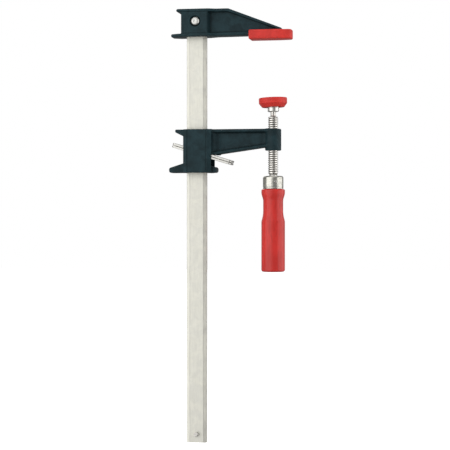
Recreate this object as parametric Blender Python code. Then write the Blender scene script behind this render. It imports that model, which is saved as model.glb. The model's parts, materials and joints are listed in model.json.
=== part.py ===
"""F clamp of the clutch type, for Blender 4.5 (metres, +Z up).

A flat steel rail carries a fixed jaw, riveted on its top end, and a sliding jaw that two tilted
clutch plates lock on the rail. A hand screw in the sliding jaw lifts a swivel foot with a soft cap.

The origin is the centre of the fixed jaw's clamping face, on the screw's axis. +Z runs along the
rail towards the fixed jaw, +X from the rail towards the jaw tips, and -Y is the front. Outlines of
jaws are given from the rail's centre line, so their own x is 0 there.
"""
import math

import bmesh
import bpy
from mathutils import Vector

MM = 0.001
GAP = 0.3 * MM                       # air between two pieces that touch
REACH = 40 * MM                      # how far a cutter runs past the piece it cuts
MERGE = 0.001 * MM

# Rail
THROAT = 63.5 * MM                   # from the rail's edge to the screw's axis
RAIL_WIDTH = 19.05 * MM
RAIL_THICKNESS = 6.35 * MM
RAIL_BEVEL_WIDTH = 3.0 * MM
RAIL_BEVEL_DEPTH = 1.0 * MM
RAIL_TOP = 29.0 * MM
RAIL_BOTTOM = -381.3 * MM
RAIL_X = -(THROAT + RAIL_WIDTH / 2)

STOP_PIN_Z = -373.2 * MM
STOP_PIN_RADIUS = 2.1 * MM
STOP_PIN_HALF_LENGTH = 6.2 * MM

# Fixed jaw
FIXED_TOP = 29.5 * MM
FIXED_UNDERSIDE = 3.4 * MM
BOX_LEFT = -13.6 * MM
BOX_RIGHT = 11.4 * MM
BOX_HALF_DEPTH = 10.0 * MM
RIM_HALF_DEPTH = 10.6 * MM           # the flanges stand a little proud of the box's faces
TOP_FLANGE = 2.5 * MM
BOTTOM_FLANGE = 2.8 * MM
TOP_HOOK = -18.4 * MM
BOTTOM_HOOK = -24.4 * MM
HOOK_HALF_DEPTH = 6.5 * MM
KNEE_X = 31.1 * MM
TIP_X = 81.3 * MM
TIP_Z = 10.3 * MM
TIP_HALF_DEPTH = 6.2 * MM
WEB_HALF_THICKNESS = 3.2 * MM
WEB_DRAFT = 3.2 * MM                 # how far the box's side wall slopes on its way to the web
SOLE_START = 53.0 * MM
SOLE_END = 85.0 * MM
SOLE_BOTTOM = 2.1 * MM
ARM_UNDERSIDE = 4.0 * MM

RIVET_Z = 17.8 * MM
RIVET_SHANK_RADIUS = 3.0 * MM
RIVET_HEAD_RADIUS = 3.9 * MM
RIVET_HEAD_SEAT = 9.6 * MM
RIVET_HEAD_TOP = 11.0 * MM
RIVET_RECESS_RADIUS = 5.0 * MM

# Cap on the fixed jaw's tip
SHOE_START = 50.8 * MM
SHOE_END = 91.2 * MM
SHOE_HALF_DEPTH = 9.2 * MM
SHOE_HEIGHT = 8.8 * MM
SHOE_FLOOR = SOLE_BOTTOM - GAP
SHOE_LIP = 3.6 * MM
SHOE_BEVEL = 0.8 * MM

# Sliding jaw: heights are measured down from its top
SLIDER_TOP_Z = -84.2 * MM
SLEEVE_HEIGHT = 41.0 * MM
SLEEVE_HALF_DEPTH = 12.0 * MM
SLEEVE_SHOULDER = 10.6 * MM
SLEEVE_LEFT = -11.5 * MM
SLEEVE_RIGHT = 15.2 * MM
PANEL_LEFT = -8.0 * MM
PANEL_RIGHT = 9.9 * MM
COLLAR_HEIGHT = 9.6 * MM
FLOOR_HEIGHT = 6.4 * MM
CAVITY_HALF_DEPTH = 9.3 * MM
CAVITY_RIGHT = 11.5 * MM
ARM_HALF_DEPTH = 6.8 * MM
ARM_TOP_FLANGE = 2.6 * MM
ARM_LOWER_FLANGE = 2.3 * MM
ARM_ROOT_X = 20.4 * MM
ARM_ROOT_DEPTH = 23.8 * MM
ARM_END_X = 60.9 * MM
ARM_END_DEPTH = 18.1 * MM
ROOT_FILLET = 7.0 * MM
BOSS_RADIUS = 7.6 * MM
BOSS_HEIGHT = 20.4 * MM
SLIDER_TOP_HOOK = -20.0 * MM
SLIDER_BOTTOM_HOOK = -25.9 * MM
SLIDER_RIGHT_HOOK = 19.6 * MM
SLIDER_HOOK_HALF_DEPTH = 7.0 * MM

# Clutch plates: they rock on the edge under the arm's root
CLUTCH_TILT = math.radians(17.0)
FULCRUM_X = 19.0 * MM
FULCRUM_DEPTH = 25.0 * MM
PLATE_THICKNESS = 2.0 * MM
PLATE_HALF_DEPTH = 8.9 * MM
PLATE_LENGTH = 59.1 * MM
PLATE_OVERHANG = 16.5 * MM           # how far the plates run past the fulcrum
PLATE_CORNER = 2.4 * MM
PLATE_SLOT_LENGTH = 21.4 * MM
PLATE_SLOT_WIDTH = 7.35 * MM

# Spring round the rail, under the plates
SPRING_WIRE_RADIUS = 0.6 * MM
SPRING_HALF_LENGTH = 10.6 * MM
SPRING_HALF_WIDTH = 4.4 * MM
SPRING_CORNER = 2.5 * MM
SPRING_TURNS = 3

# Screw: heights are measured from the ball's centre
BALL_Z = -63.8 * MM
FOOT_TILT = math.radians(2.0)
BALL_RADIUS = 3.8 * MM
NECK_RADIUS = 2.5 * MM
NECK_END = -8.6 * MM
CUP_RADIUS = 5.4 * MM
CUP_BOTTOM = -4.4 * MM
CUP_MOUTH_RADIUS = 3.9 * MM
CUP_THROAT_RADIUS = 3.3 * MM
FOOT_FLANGE_RADIUS = 9.2 * MM
FOOT_FLANGE_TOP = 5.2 * MM
FOOT_FLANGE_BOTTOM = 2.2 * MM
CAP_RADIUS = 13.3 * MM
CAP_TOP = 8.8 * MM
CAP_RIM_BOTTOM = 3.6 * MM
CAP_SKIRT_RADIUS = 10.4 * MM
CAP_BOTTOM = -0.1 * MM
CAP_LIP_RADIUS = 8.6 * MM
CAP_NOTCH = 2.2 * MM

SCREW_RADIUS = 4.75 * MM
SCREW_ROOT_RADIUS = 3.9 * MM
SCREW_PITCH = 2.0 * MM
SCREW_TOP = NECK_END - GAP
SCREW_THREAD_END = -64.0 * MM
TANG_RADIUS = 4.0 * MM
TANG_END = -116.0 * MM
BORE_CLEARANCE = 0.35 * MM

FERRULE_TOP = -64.7 * MM
FERRULE_BOTTOM = -76.9 * MM
FERRULE_RADIUS = 9.65 * MM
FERRULE_EDGE = 1.8 * MM
FERRULE_ROOF = 2.2 * MM
FERRULE_BORE = 8.4 * MM
FERRULE_PIN_Z = -70.0 * MM
FERRULE_PIN_RADIUS = 1.2 * MM
FERRULE_PIN_HALF_LENGTH = 10.0 * MM
FERRULE_PIN_TURN = math.radians(22.0)

HANDLE_BOTTOM = -154.9 * MM
HANDLE_RADIUS = 11.1 * MM
HANDLE_WAIST_RADIUS = 9.4 * MM
HANDLE_WAIST_TOP = -88.5 * MM
HANDLE_WAIST_BOTTOM = -97.5 * MM
HANDLE_WAIST_RUN = 10.0 * MM         # length over which the waist opens to the full radius
HANDLE_EDGE = 1.6 * MM

# Colours, roughness and metallic values
ENAMEL = ((0.022, 0.038, 0.042), 0.45, 0.0)
ZINC = ((0.76, 0.75, 0.71), 0.32, 1.0)
STEEL = ((0.56, 0.55, 0.52), 0.35, 1.0)
PLASTIC_RED = ((0.60, 0.045, 0.035), 0.42, 0.0)
LACQUER_RED = ((0.58, 0.045, 0.035), 0.32, 0.0)


def clear_scene():
    """Take away everything that the scene starts with."""
    for item in list(bpy.data.objects):
        bpy.data.objects.remove(item, do_unlink=True)


def empty(name, location, tilt=0.0, parent=None):
    """Make an empty that marks a joint; tilt turns it about Y."""
    marker = bpy.data.objects.new(name, None)
    marker.location = location
    marker.rotation_euler = (0.0, tilt, 0.0)
    marker.parent = parent
    bpy.context.scene.collection.objects.link(marker)
    return marker


def solid(name, shape, parent=None, location=(0.0, 0.0, 0.0), smooth=False):
    """Turn a bmesh into a named object and free the bmesh."""
    bmesh.ops.remove_doubles(shape, verts=shape.verts, dist=MERGE)
    bmesh.ops.recalc_face_normals(shape, faces=shape.faces)
    mesh = bpy.data.meshes.new(name)
    shape.to_mesh(mesh)
    shape.free()
    if smooth:
        mesh.shade_smooth()
        mesh.set_sharp_from_angle(angle=math.radians(35))
    item = bpy.data.objects.new(name, mesh)
    item.location = location
    item.parent = parent
    bpy.context.scene.collection.objects.link(item)
    return item


def paint(item, name, finish):
    """Give an object its own Principled material."""
    colour, roughness, metallic = finish
    material = bpy.data.materials.new(name)
    material.use_nodes = True
    shader = material.node_tree.nodes["Principled BSDF"]
    shader.inputs["Base Color"].default_value = (*colour, 1.0)
    shader.inputs["Roughness"].default_value = roughness
    shader.inputs["Metallic"].default_value = metallic
    item.data.materials.append(material)


def rounded(corners, steps=3):
    """Round the corners (u, v, radius) of a closed outline with arcs of the given steps."""
    outline = []
    for index, (u, v, radius) in enumerate(corners):
        corner = Vector((u, v))
        before = (Vector(corners[index - 1][:2]) - corner).normalized()
        after = (Vector(corners[(index + 1) % len(corners)][:2]) - corner).normalized()
        half_angle = before.angle(after) / 2
        centre = corner + (before + after).normalized() * (radius / math.sin(half_angle))
        setback = radius / math.tan(half_angle)
        first = corner + before * setback - centre
        last = corner + after * setback - centre
        for step in range(steps + 1):
            spoke = first.lerp(last, step / steps)
            outline.append(centre + spoke.normalized() * radius)
    return outline


def mirrored(half):
    """Close an outline given on its -y side by its mirror image."""
    return half + [(x, -y, radius) for x, y, radius in reversed(half)]


def lofted(rings):
    """Join rings of equal length by quads and close both ends."""
    shape = bmesh.new()
    loops = [[shape.verts.new(point) for point in ring] for ring in rings]
    for lower, upper in zip(loops, loops[1:]):
        for index in range(len(lower)):
            following = (index + 1) % len(lower)
            shape.faces.new((lower[index], lower[following], upper[following], upper[index]))
    shape.faces.new(loops[0])
    shape.faces.new(loops[-1])
    return shape


def side_prism(outline, near, far, far_outline=None):
    """Extrude an (x, z) outline from y = near to y = far, where it may change to another outline."""
    first = [(u, near, v) for u, v in outline]
    last = [(u, far, v) for u, v in far_outline or outline]
    return lofted([first, last])


def plan_prism(outline, low, high):
    """Extrude an (x, y) outline from z = low to z = high."""
    return lofted([[(u, v, level) for u, v in outline] for level in (low, high)])


def box_outline(left, right, low, high):
    """Give the four corners of a rectangle."""
    return [(left, low), (right, low), (right, high), (left, high)]


def turned(profile, segments=32, closed=False):
    """Turn (radius, z) points about Z; a profile that isn't closed starts and ends on the axis."""
    shape = bmesh.new()
    points = [shape.verts.new((radius, 0.0, z)) for radius, z in profile]
    pairs = list(zip(points, points[1:]))
    if closed:
        pairs.append((points[-1], points[0]))
    edges = [shape.edges.new(pair) for pair in pairs]
    bmesh.ops.spin(shape, geom=points + edges, cent=(0, 0, 0), axis=(0, 0, 1), dvec=(0, 0, 0),
                   angle=math.tau, steps=segments, use_merge=True, use_duplicate=False)
    return shape


def turned_across(profile, segments=24):
    """Turn (radius, y) points about the Y axis."""
    shape = turned(profile, segments)
    for point in shape.verts:
        point.co = Vector((point.co.x, point.co.z, -point.co.y))
    return shape


def rod(radius, low, high):
    """Profile of a plain round rod."""
    return [(0.0, low), (radius, low), (radius, high), (0.0, high)]


def arc(centre_r, centre_z, radius, start, end, steps):
    """Profile points along an arc, its angles in degrees from the +r direction."""
    angles = [math.radians(start + (end - start) * step / steps) for step in range(steps + 1)]
    return [(centre_r + radius * math.cos(a), centre_z + radius * math.sin(a)) for a in angles]


def combine(piece, name, shape, operation="DIFFERENCE"):
    """Cut or join a shape into a piece with a Boolean that stays live."""
    tool = solid(name, shape, parent=piece.parent, location=piece.location)
    tool.hide_render = True
    tool.display_type = "WIRE"
    step = piece.modifiers.new(name, "BOOLEAN")
    step.operation = operation
    step.solver = "EXACT"
    step.object = tool


def soften(piece, width, segments=2):
    """Bevel a piece's sharp edges."""
    bevel = piece.modifiers.new("edges", "BEVEL")
    bevel.width = width
    bevel.segments = segments
    bevel.limit_method = "ANGLE"
    bevel.angle_limit = math.radians(40)


def raised(shape, height):
    """Move a shape up by a height."""
    bmesh.ops.translate(shape, verts=shape.verts, vec=(0.0, 0.0, height))
    return shape


def rail_outline(grow=0.0):
    """The rail's section: a flat with two wide, shallow bevels on each face."""
    half_width = RAIL_WIDTH / 2 + grow
    half_thickness = RAIL_THICKNESS / 2 + grow
    flat = RAIL_WIDTH / 2 - RAIL_BEVEL_WIDTH
    shoulder = half_thickness - RAIL_BEVEL_DEPTH
    half = [(-half_width, -shoulder), (-flat, -half_thickness), (flat, -half_thickness),
            (half_width, -shoulder)]
    return half + [(x, -y) for x, y in reversed(half)]


def make_rail():
    """The flat rail, with holes for the rivet and the stop pin."""
    rail = solid("bar", plan_prism(rail_outline(), RAIL_BOTTOM, RAIL_TOP), location=(RAIL_X, 0, 0))
    for name, radius, height in (("rivet_hole", RIVET_SHANK_RADIUS, RIVET_Z),
                                 ("stop_pin_hole", STOP_PIN_RADIUS, STOP_PIN_Z)):
        hole = turned_across(rod(radius + GAP, -RAIL_WIDTH, RAIL_WIDTH))
        combine(rail, name, raised(hole, height))
    paint(rail, "rail_steel", ZINC)


def make_stop_pin():
    """The pin that keeps the sliding jaw on the rail."""
    crown = 0.5 * MM
    half = STOP_PIN_HALF_LENGTH
    profile = [(0.0, -half), (STOP_PIN_RADIUS - crown, -half), (STOP_PIN_RADIUS, crown - half),
               (STOP_PIN_RADIUS, half - crown), (STOP_PIN_RADIUS - crown, half), (0.0, half)]
    pin = solid("end_stop_pin", turned_across(profile), location=(RAIL_X, 0, STOP_PIN_Z),
                smooth=True)
    paint(pin, "stop_pin_steel", STEEL)


def fixed_jaw_side():
    """Side outline of the fixed jaw, from the lower hook's tip round by the top."""
    slack = 0.5 * MM
    return rounded([
        (BOTTOM_HOOK, FIXED_UNDERSIDE, 1.1 * MM),
        (BOTTOM_HOOK, FIXED_UNDERSIDE + BOTTOM_FLANGE, 1.1 * MM),
        (BOX_LEFT, FIXED_UNDERSIDE + BOTTOM_FLANGE, 0.8 * MM),
        (BOX_LEFT, FIXED_TOP - TOP_FLANGE - slack, 2.0 * MM),
        (TOP_HOOK, FIXED_TOP - TOP_FLANGE, 1.2 * MM),
        (TOP_HOOK, FIXED_TOP, 1.2 * MM),
        (KNEE_X, FIXED_TOP, 4.0 * MM),
        (TIP_X, TIP_Z, 2.0 * MM),
        (SOLE_END, SOLE_BOTTOM + BOTTOM_FLANGE, 1.0 * MM),
        (SOLE_END, SOLE_BOTTOM, 1.0 * MM),
        (SOLE_START, SOLE_BOTTOM, 0.5 * MM),
        (SOLE_START, ARM_UNDERSIDE, 0.5 * MM),
    ])


def fixed_jaw_plan():
    """Plan outline of the fixed jaw: hooks, wide box, then an arm that narrows to the tip."""
    return rounded(mirrored([
        (BOTTOM_HOOK, -HOOK_HALF_DEPTH, 3.0 * MM),
        (BOX_LEFT - 3.0 * MM, -RIM_HALF_DEPTH, 1.5 * MM),
        (BOX_RIGHT + 0.8 * MM, -RIM_HALF_DEPTH, 2.0 * MM),
        (BOX_RIGHT + 8.0 * MM, -RIM_HALF_DEPTH + 3.2 * MM, 3.0 * MM),
        (SOLE_END, -TIP_HALF_DEPTH, 2.5 * MM),
    ]))


def fixed_jaw_pocket(draft):
    """Outline of the hollow beside the web; draft pulls its sides in towards the web."""
    slope = (FIXED_TOP - TIP_Z) / (TIP_X - KNEE_X)
    rise = math.hypot(1.0, slope)
    top = FIXED_TOP - TOP_FLANGE - draft / 4
    low = FIXED_UNDERSIDE + BOTTOM_FLANGE + draft / 4
    knee = KNEE_X - draft / 8
    nose = knee + (top - low) / slope - TOP_FLANGE * (rise - 1.0) / slope - draft / 4
    return rounded([
        (BOX_RIGHT + draft, low, 1.0 * MM),
        (BOX_RIGHT + draft, top, 1.0 * MM),
        (knee, top, 3.0 * MM),
        (nose, low + 1.2 * MM, 0.8 * MM),
    ])


def make_fixed_jaw():
    """The fixed jaw: a box round the rail's end and a webbed arm with two flanges."""
    place = (RAIL_X, 0, 0)
    jaw = solid("fixed_jaw", side_prism(fixed_jaw_side(), -REACH, REACH), location=place)
    combine(jaw, "fixed_plan", plan_prism(fixed_jaw_plan(), -REACH, REACH), "INTERSECT")
    low = FIXED_UNDERSIDE + BOTTOM_FLANGE
    high = FIXED_TOP - TOP_FLANGE
    for side, name in ((-1, "front"), (1, "rear")):
        pocket = side_prism(fixed_jaw_pocket(0.0), side * RIM_HALF_DEPTH * 1.2,
                            side * WEB_HALF_THICKNESS, fixed_jaw_pocket(WEB_DRAFT))
        combine(jaw, "fixed_pocket_" + name, pocket)
        face = side_prism(box_outline(-REACH, BOX_RIGHT, low, high), side * BOX_HALF_DEPTH,
                          side * REACH)
        combine(jaw, "fixed_face_" + name, face)
        recess = turned_across(rod(RIVET_RECESS_RADIUS, side * (RIVET_HEAD_SEAT - GAP),
                                   side * REACH))
        combine(jaw, "rivet_recess_" + name, raised(recess, RIVET_Z))
    combine(jaw, "rail_socket", plan_prism(rail_outline(GAP), -REACH, REACH))
    hole = turned_across(rod(RIVET_SHANK_RADIUS + GAP, -REACH, REACH))
    combine(jaw, "fixed_rivet_hole", raised(hole, RIVET_Z))
    paint(jaw, "fixed_jaw_enamel", ENAMEL)


def make_rivet():
    """The rivet through jaw and rail, with a low domed head on each face."""
    shoulder = RIVET_HEAD_SEAT + 0.5 * MM
    crown = [(RIVET_HEAD_RADIUS, shoulder), (RIVET_HEAD_RADIUS * 0.8, RIVET_HEAD_TOP - 0.25 * MM),
             (RIVET_HEAD_RADIUS * 0.4, RIVET_HEAD_TOP), (0.0, RIVET_HEAD_TOP)]
    upper = [(RIVET_SHANK_RADIUS, RIVET_HEAD_SEAT), (RIVET_HEAD_RADIUS, RIVET_HEAD_SEAT)] + crown
    lower = [(radius, -y) for radius, y in reversed(upper)]
    rivet = solid("jaw_rivet", turned_across(lower + upper), location=(RAIL_X, 0, RIVET_Z),
                  smooth=True)
    paint(rivet, "rivet_steel", STEEL)


def make_shoe():
    """The soft cap pushed over the fixed jaw's tip."""
    plan = rounded(mirrored([
        (SHOE_START, -SHOE_HALF_DEPTH, 1.5 * MM),
        (SHOE_END - 12.0 * MM, -SHOE_HALF_DEPTH, 12.0 * MM),
        (SHOE_END, -SHOE_HALF_DEPTH + 1.6 * MM, 4.5 * MM),
    ]))
    shoe = solid("fixed_jaw_pad", plan_prism(plan, 0.0, SHOE_HEIGHT), location=(RAIL_X, 0, 0))
    soften(shoe, SHOE_BEVEL)
    inner_start = SOLE_START - GAP
    inner_end = SOLE_END + GAP
    above = SHOE_HEIGHT + 1.0 * MM
    hollow = [(SHOE_START - 1.0 * MM, SHOE_LIP), (inner_start, SHOE_LIP),
              (inner_start, SHOE_FLOOR), (inner_end, SHOE_FLOOR), (inner_end, above),
              (SHOE_START - 1.0 * MM, above)]
    half = TIP_HALF_DEPTH + 0.8 * MM
    combine(shoe, "shoe_hollow", side_prism(hollow, -half, half))
    paint(shoe, "shoe_plastic", PLASTIC_RED)


def sleeve_plan():
    """Plan outline of the sleeve: a raised panel between sloped shoulders on each face."""
    half = [(SLEEVE_LEFT, -SLEEVE_SHOULDER), (PANEL_LEFT, -SLEEVE_HALF_DEPTH),
            (PANEL_RIGHT, -SLEEVE_HALF_DEPTH), (SLEEVE_RIGHT, -SLEEVE_SHOULDER)]
    return half + [(x, -y) for x, y in reversed(half)]


def arm_root_plan(steps=5):
    """Plan outline of the arm's root: it runs into the web along a hollow fillet on each face."""
    centre_x = SLEEVE_RIGHT + ROOT_FILLET
    centre_y = -(WEB_HALF_THICKNESS + ROOT_FILLET)
    angles = [math.radians(180 - 90 * step / steps) for step in range(steps + 1)]
    curve = [(centre_x + ROOT_FILLET * math.cos(a), centre_y + ROOT_FILLET * math.sin(a))
             for a in angles]
    half = [(CAVITY_RIGHT, curve[0][1])] + curve
    return half + [(x, -y) for x, y in reversed(half)]


def arm_pocket(draft):
    """Outline of the hollow beside the sliding arm's web."""
    fall = (ARM_ROOT_DEPTH - ARM_END_DEPTH) / (ARM_END_X - ARM_ROOT_X)
    left = SLEEVE_RIGHT + draft / 4
    right = THROAT + RAIL_WIDTH / 2
    low_left = -(ARM_ROOT_DEPTH + fall * (ARM_ROOT_X - left)) + ARM_LOWER_FLANGE + draft / 4
    low_right = low_left + fall * (right - left)
    top = -ARM_TOP_FLANGE - draft / 4
    return rounded([(left, low_left, 0.8 * MM), (left, top, 0.8 * MM), (right, top, 0.8 * MM),
                    (right, low_right, 0.8 * MM)])


def slider_hooks():
    """Side outlines of the three lugs on the sleeve's corners."""
    inside = SLEEVE_LEFT + 3.0 * MM
    bottom = -SLEEVE_HEIGHT
    top_left = [(SLIDER_TOP_HOOK, 0.0, 1.0 * MM), (inside, 0.0, 0.5 * MM),
                (inside, -6.8 * MM, 0.5 * MM), (SLEEVE_LEFT, -6.8 * MM, 0.5 * MM),
                (SLIDER_TOP_HOOK, -2.6 * MM, 1.2 * MM)]
    bottom_left = [(SLIDER_BOTTOM_HOOK, bottom, 1.8 * MM),
                   (SLIDER_BOTTOM_HOOK, bottom + 4.6 * MM, 1.8 * MM),
                   (SLEEVE_LEFT, bottom + 9.2 * MM, 0.5 * MM), (inside, bottom + 9.2 * MM, 0.5 * MM),
                   (inside, bottom, 0.5 * MM)]
    right = [(SLEEVE_RIGHT - 3.0 * MM, bottom, 0.5 * MM), (SLIDER_RIGHT_HOOK, bottom, 2.0 * MM),
             (SLIDER_RIGHT_HOOK, bottom + 5.2 * MM, 2.2 * MM),
             (SLEEVE_RIGHT - 3.0 * MM, bottom + FLOOR_HEIGHT, 0.5 * MM)]
    return {"top_left": top_left, "bottom_left": bottom_left, "right": right}


def clutch_cavity():
    """Side outline of the window through the sleeve, with the fulcrum edge under the arm's root."""
    ceiling = -COLLAR_HEIGHT
    floor = FLOOR_HEIGHT - SLEEVE_HEIGHT
    left = SLEEVE_LEFT - 0.4 * MM
    edge = FULCRUM_DEPTH - 0.5 * MM
    fall = math.tan(CLUTCH_TILT)
    inner = edge - (FULCRUM_X - CAVITY_RIGHT) * fall
    return [(left, floor), (left, ceiling), (CAVITY_RIGHT, ceiling), (CAVITY_RIGHT, -inner),
            (FULCRUM_X, -edge), (FULCRUM_X + 2.4 * MM, -edge - 0.4 * MM),
            (REACH, -edge - 0.4 * MM), (REACH, floor)]


def make_slider(carriage):
    """The sliding jaw: sleeve, webbed arm, threaded boss and corner lugs in one casting."""
    boss_x = THROAT + RAIL_WIDTH / 2
    root_fall = (ARM_ROOT_DEPTH - ARM_END_DEPTH) / (ARM_END_X - ARM_ROOT_X)
    boss_depth = ARM_END_DEPTH - root_fall * (boss_x - ARM_END_X)
    root_depth = ARM_ROOT_DEPTH + root_fall * (ARM_ROOT_X - CAVITY_RIGHT)
    arm = [(CAVITY_RIGHT, 0.0), (boss_x, 0.0), (boss_x, -boss_depth), (CAVITY_RIGHT, -root_depth)]
    jaw = solid("sliding_jaw", side_prism(arm, -ARM_HALF_DEPTH, ARM_HALF_DEPTH), parent=carriage)
    for side, name in ((-1, "front"), (1, "rear")):
        pocket = side_prism(arm_pocket(0.0), side * ARM_HALF_DEPTH * 1.3,
                            side * WEB_HALF_THICKNESS, arm_pocket(WEB_DRAFT))
        combine(jaw, "arm_pocket_" + name, pocket)
    sleeve = plan_prism(sleeve_plan(), -SLEEVE_HEIGHT, 0.0)
    combine(jaw, "sleeve", sleeve, "UNION")
    root = plan_prism(arm_root_plan(), 0.5 * MM - FULCRUM_DEPTH, -ARM_TOP_FLANGE / 2)
    combine(jaw, "arm_root", root, "UNION")
    boss = turned(rod(BOSS_RADIUS, -BOSS_HEIGHT, 0.0), segments=40)
    bmesh.ops.translate(boss, verts=boss.verts, vec=(boss_x, 0.0, 0.0))
    combine(jaw, "boss", boss, "UNION")
    for name, outline in slider_hooks().items():
        hook = side_prism(rounded(outline), -SLIDER_HOOK_HALF_DEPTH, SLIDER_HOOK_HALF_DEPTH)
        combine(jaw, "hook_" + name, hook, "UNION")
    cavity = side_prism(clutch_cavity(), -CAVITY_HALF_DEPTH, CAVITY_HALF_DEPTH)
    combine(jaw, "clutch_window", cavity)
    combine(jaw, "rail_way", plan_prism(rail_outline(GAP), -SLEEVE_HEIGHT * 1.2, REACH))
    bore = turned(rod(SCREW_RADIUS + BORE_CLEARANCE, -REACH, REACH), segments=32)
    bmesh.ops.translate(bore, verts=bore.verts, vec=(boss_x, 0.0, 0.0))
    combine(jaw, "screw_bore", bore)
    paint(jaw, "sliding_jaw_enamel", ENAMEL)


def make_clutch(fulcrum):
    """The two slotted plates, one on the other, each with its slot centred on the rail."""
    right = PLATE_OVERHANG
    left = PLATE_OVERHANG - PLATE_LENGTH
    plan = rounded(mirrored([(left, -PLATE_HALF_DEPTH, PLATE_CORNER),
                             (right, -PLATE_HALF_DEPTH, PLATE_CORNER)]))
    for name, top in (("clutch_plate_upper", 0.0),
                      ("clutch_plate_lower", -PLATE_THICKNESS - GAP)):
        bottom = top - PLATE_THICKNESS
        middle = (top + bottom) / 2
        centre = -(FULCRUM_X + middle * math.sin(CLUTCH_TILT)) / math.cos(CLUTCH_TILT)
        plate = solid(name, plan_prism(plan, bottom, top), parent=fulcrum)
        slot = rounded([(centre + along * PLATE_SLOT_LENGTH / 2, across * PLATE_SLOT_WIDTH / 2,
                         0.8 * MM) for along, across in ((-1, -1), (1, -1), (1, 1), (-1, 1))])
        combine(plate, name + "_slot", plan_prism(slot, bottom - MM, top + MM))
        paint(plate, name + "_zinc", ZINC)


def spring_loop(turn):
    """Point of a rounded rectangle at a share of one turn, as (x, y)."""
    corners = rounded([(-SPRING_HALF_LENGTH, -SPRING_HALF_WIDTH, SPRING_CORNER),
                       (SPRING_HALF_LENGTH, -SPRING_HALF_WIDTH, SPRING_CORNER),
                       (SPRING_HALF_LENGTH, SPRING_HALF_WIDTH, SPRING_CORNER),
                       (-SPRING_HALF_LENGTH, SPRING_HALF_WIDTH, SPRING_CORNER)])
    place = (turn % 1.0) * len(corners)
    first = int(place) % len(corners)
    return corners[first].lerp(corners[(first + 1) % len(corners)], place - int(place))


def make_spring(carriage):
    """The flat-sided coil between the sleeve's floor and the tilted plates."""
    per_turn = 20
    floor = FLOOR_HEIGHT - SLEEVE_HEIGHT + GAP + SPRING_WIRE_RADIUS
    stack = 2 * PLATE_THICKNESS + GAP
    crossing = (FULCRUM_X * math.sin(CLUTCH_TILT) - stack) / math.cos(CLUTCH_TILT) - FULCRUM_DEPTH
    wire = bpy.data.curves.new("clutch_spring", "CURVE")
    wire.dimensions = "3D"
    wire.bevel_depth = SPRING_WIRE_RADIUS
    wire.bevel_resolution = 2
    wire.use_fill_caps = True
    path = wire.splines.new("POLY")
    count = SPRING_TURNS * per_turn
    path.points.add(count)
    for index, point in enumerate(path.points):
        share = index / count
        x, y = spring_loop(index / per_turn)
        ceiling = crossing - x * math.tan(CLUTCH_TILT) - SPRING_WIRE_RADIUS * 1.1 - GAP
        point.co = (x, y, floor + share * (ceiling - floor), 1.0)
    spring = bpy.data.objects.new("clutch_spring", wire)
    spring.parent = carriage
    bpy.context.scene.collection.objects.link(spring)
    paint(spring, "spring_steel", STEEL)


def thread_surface(top, bottom, segments=12, profile_steps=4):
    """Screw thread as a tube whose radius follows the helix; it fades out at both ends.

    The grid is sheared along the helix, so its rows run on crests and roots.
    """
    shape = bmesh.new()
    height = top - bottom
    rows = int(height / SCREW_PITCH + 2) * profile_steps
    shares = (0.0, 0.0, 1.0, 1.0)
    columns = []
    for segment in range(segments):
        angle = math.tau * segment / segments
        column = []
        for row in range(rows):
            level = (row / profile_steps - 1 + segment / segments) * SCREW_PITCH
            inside = min(max(level, 0.0), height)
            fade = min(1.0, inside / SCREW_PITCH, (height - inside) / SCREW_PITCH)
            radius = SCREW_ROOT_RADIUS + (SCREW_RADIUS - SCREW_ROOT_RADIUS) * (
                shares[row % profile_steps] * fade)
            column.append(shape.verts.new((radius * math.cos(angle), radius * math.sin(angle),
                                           bottom + inside)))
        columns.append(column)
    for segment in range(segments):
        shift = profile_steps if segment == segments - 1 else 0
        column = columns[segment]
        beside = columns[(segment + 1) % segments]
        for row in range(rows - 1 - shift):
            shape.faces.new((column[row], beside[row + shift], beside[row + 1 + shift],
                             column[row + 1]))
    bmesh.ops.remove_doubles(shape, verts=shape.verts, dist=MERGE)
    open_edges = [edge for edge in shape.edges if edge.is_boundary]
    bmesh.ops.holes_fill(shape, edges=open_edges)
    return shape


def make_screw(ball):
    """The hand screw: threaded above, plain where it is fixed in the handle."""
    chamfer = 0.6 * MM
    screw = solid("spindle", thread_surface(SCREW_TOP, SCREW_THREAD_END), parent=ball, smooth=True)
    tang = turned([(0.0, SCREW_THREAD_END + MM), (SCREW_ROOT_RADIUS - chamfer / 2,
                                                 SCREW_THREAD_END + MM),
                   (TANG_RADIUS, SCREW_THREAD_END - chamfer), (TANG_RADIUS, TANG_END + chamfer),
                   (TANG_RADIUS - chamfer, TANG_END), (0.0, TANG_END)], segments=24)
    combine(screw, "tang", tang, "UNION")
    combine(screw, "tang_pin_hole", pin_hole())
    paint(screw, "screw_steel", STEEL)


def pin_hole():
    """Cross hole for the pin that fixes ferrule, handle and screw."""
    hole = turned_across(rod(FERRULE_PIN_RADIUS + GAP, -REACH, REACH), segments=16)
    return turn_pin(hole)


def turn_pin(shape):
    """Turn a shape about Z to the cross pin's direction and lift it to the pin's height."""
    sine = math.sin(FERRULE_PIN_TURN)
    cosine = math.cos(FERRULE_PIN_TURN)
    for point in shape.verts:
        x, y, z = point.co
        point.co = Vector((x * cosine - y * sine, x * sine + y * cosine, z + FERRULE_PIN_Z))
    return shape


def make_ball(ball):
    """The ball stud at the screw's end."""
    start = math.degrees(math.asin(NECK_RADIUS / BALL_RADIUS)) - 90
    profile = ([(0.0, NECK_END), (NECK_RADIUS, NECK_END)]
               + arc(0.0, 0.0, BALL_RADIUS, start, 90, 9))
    profile[-1] = (0.0, BALL_RADIUS)
    stud = solid("spindle_ball", turned(profile, segments=28), parent=ball, smooth=True)
    paint(stud, "ball_steel", STEEL)


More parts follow.
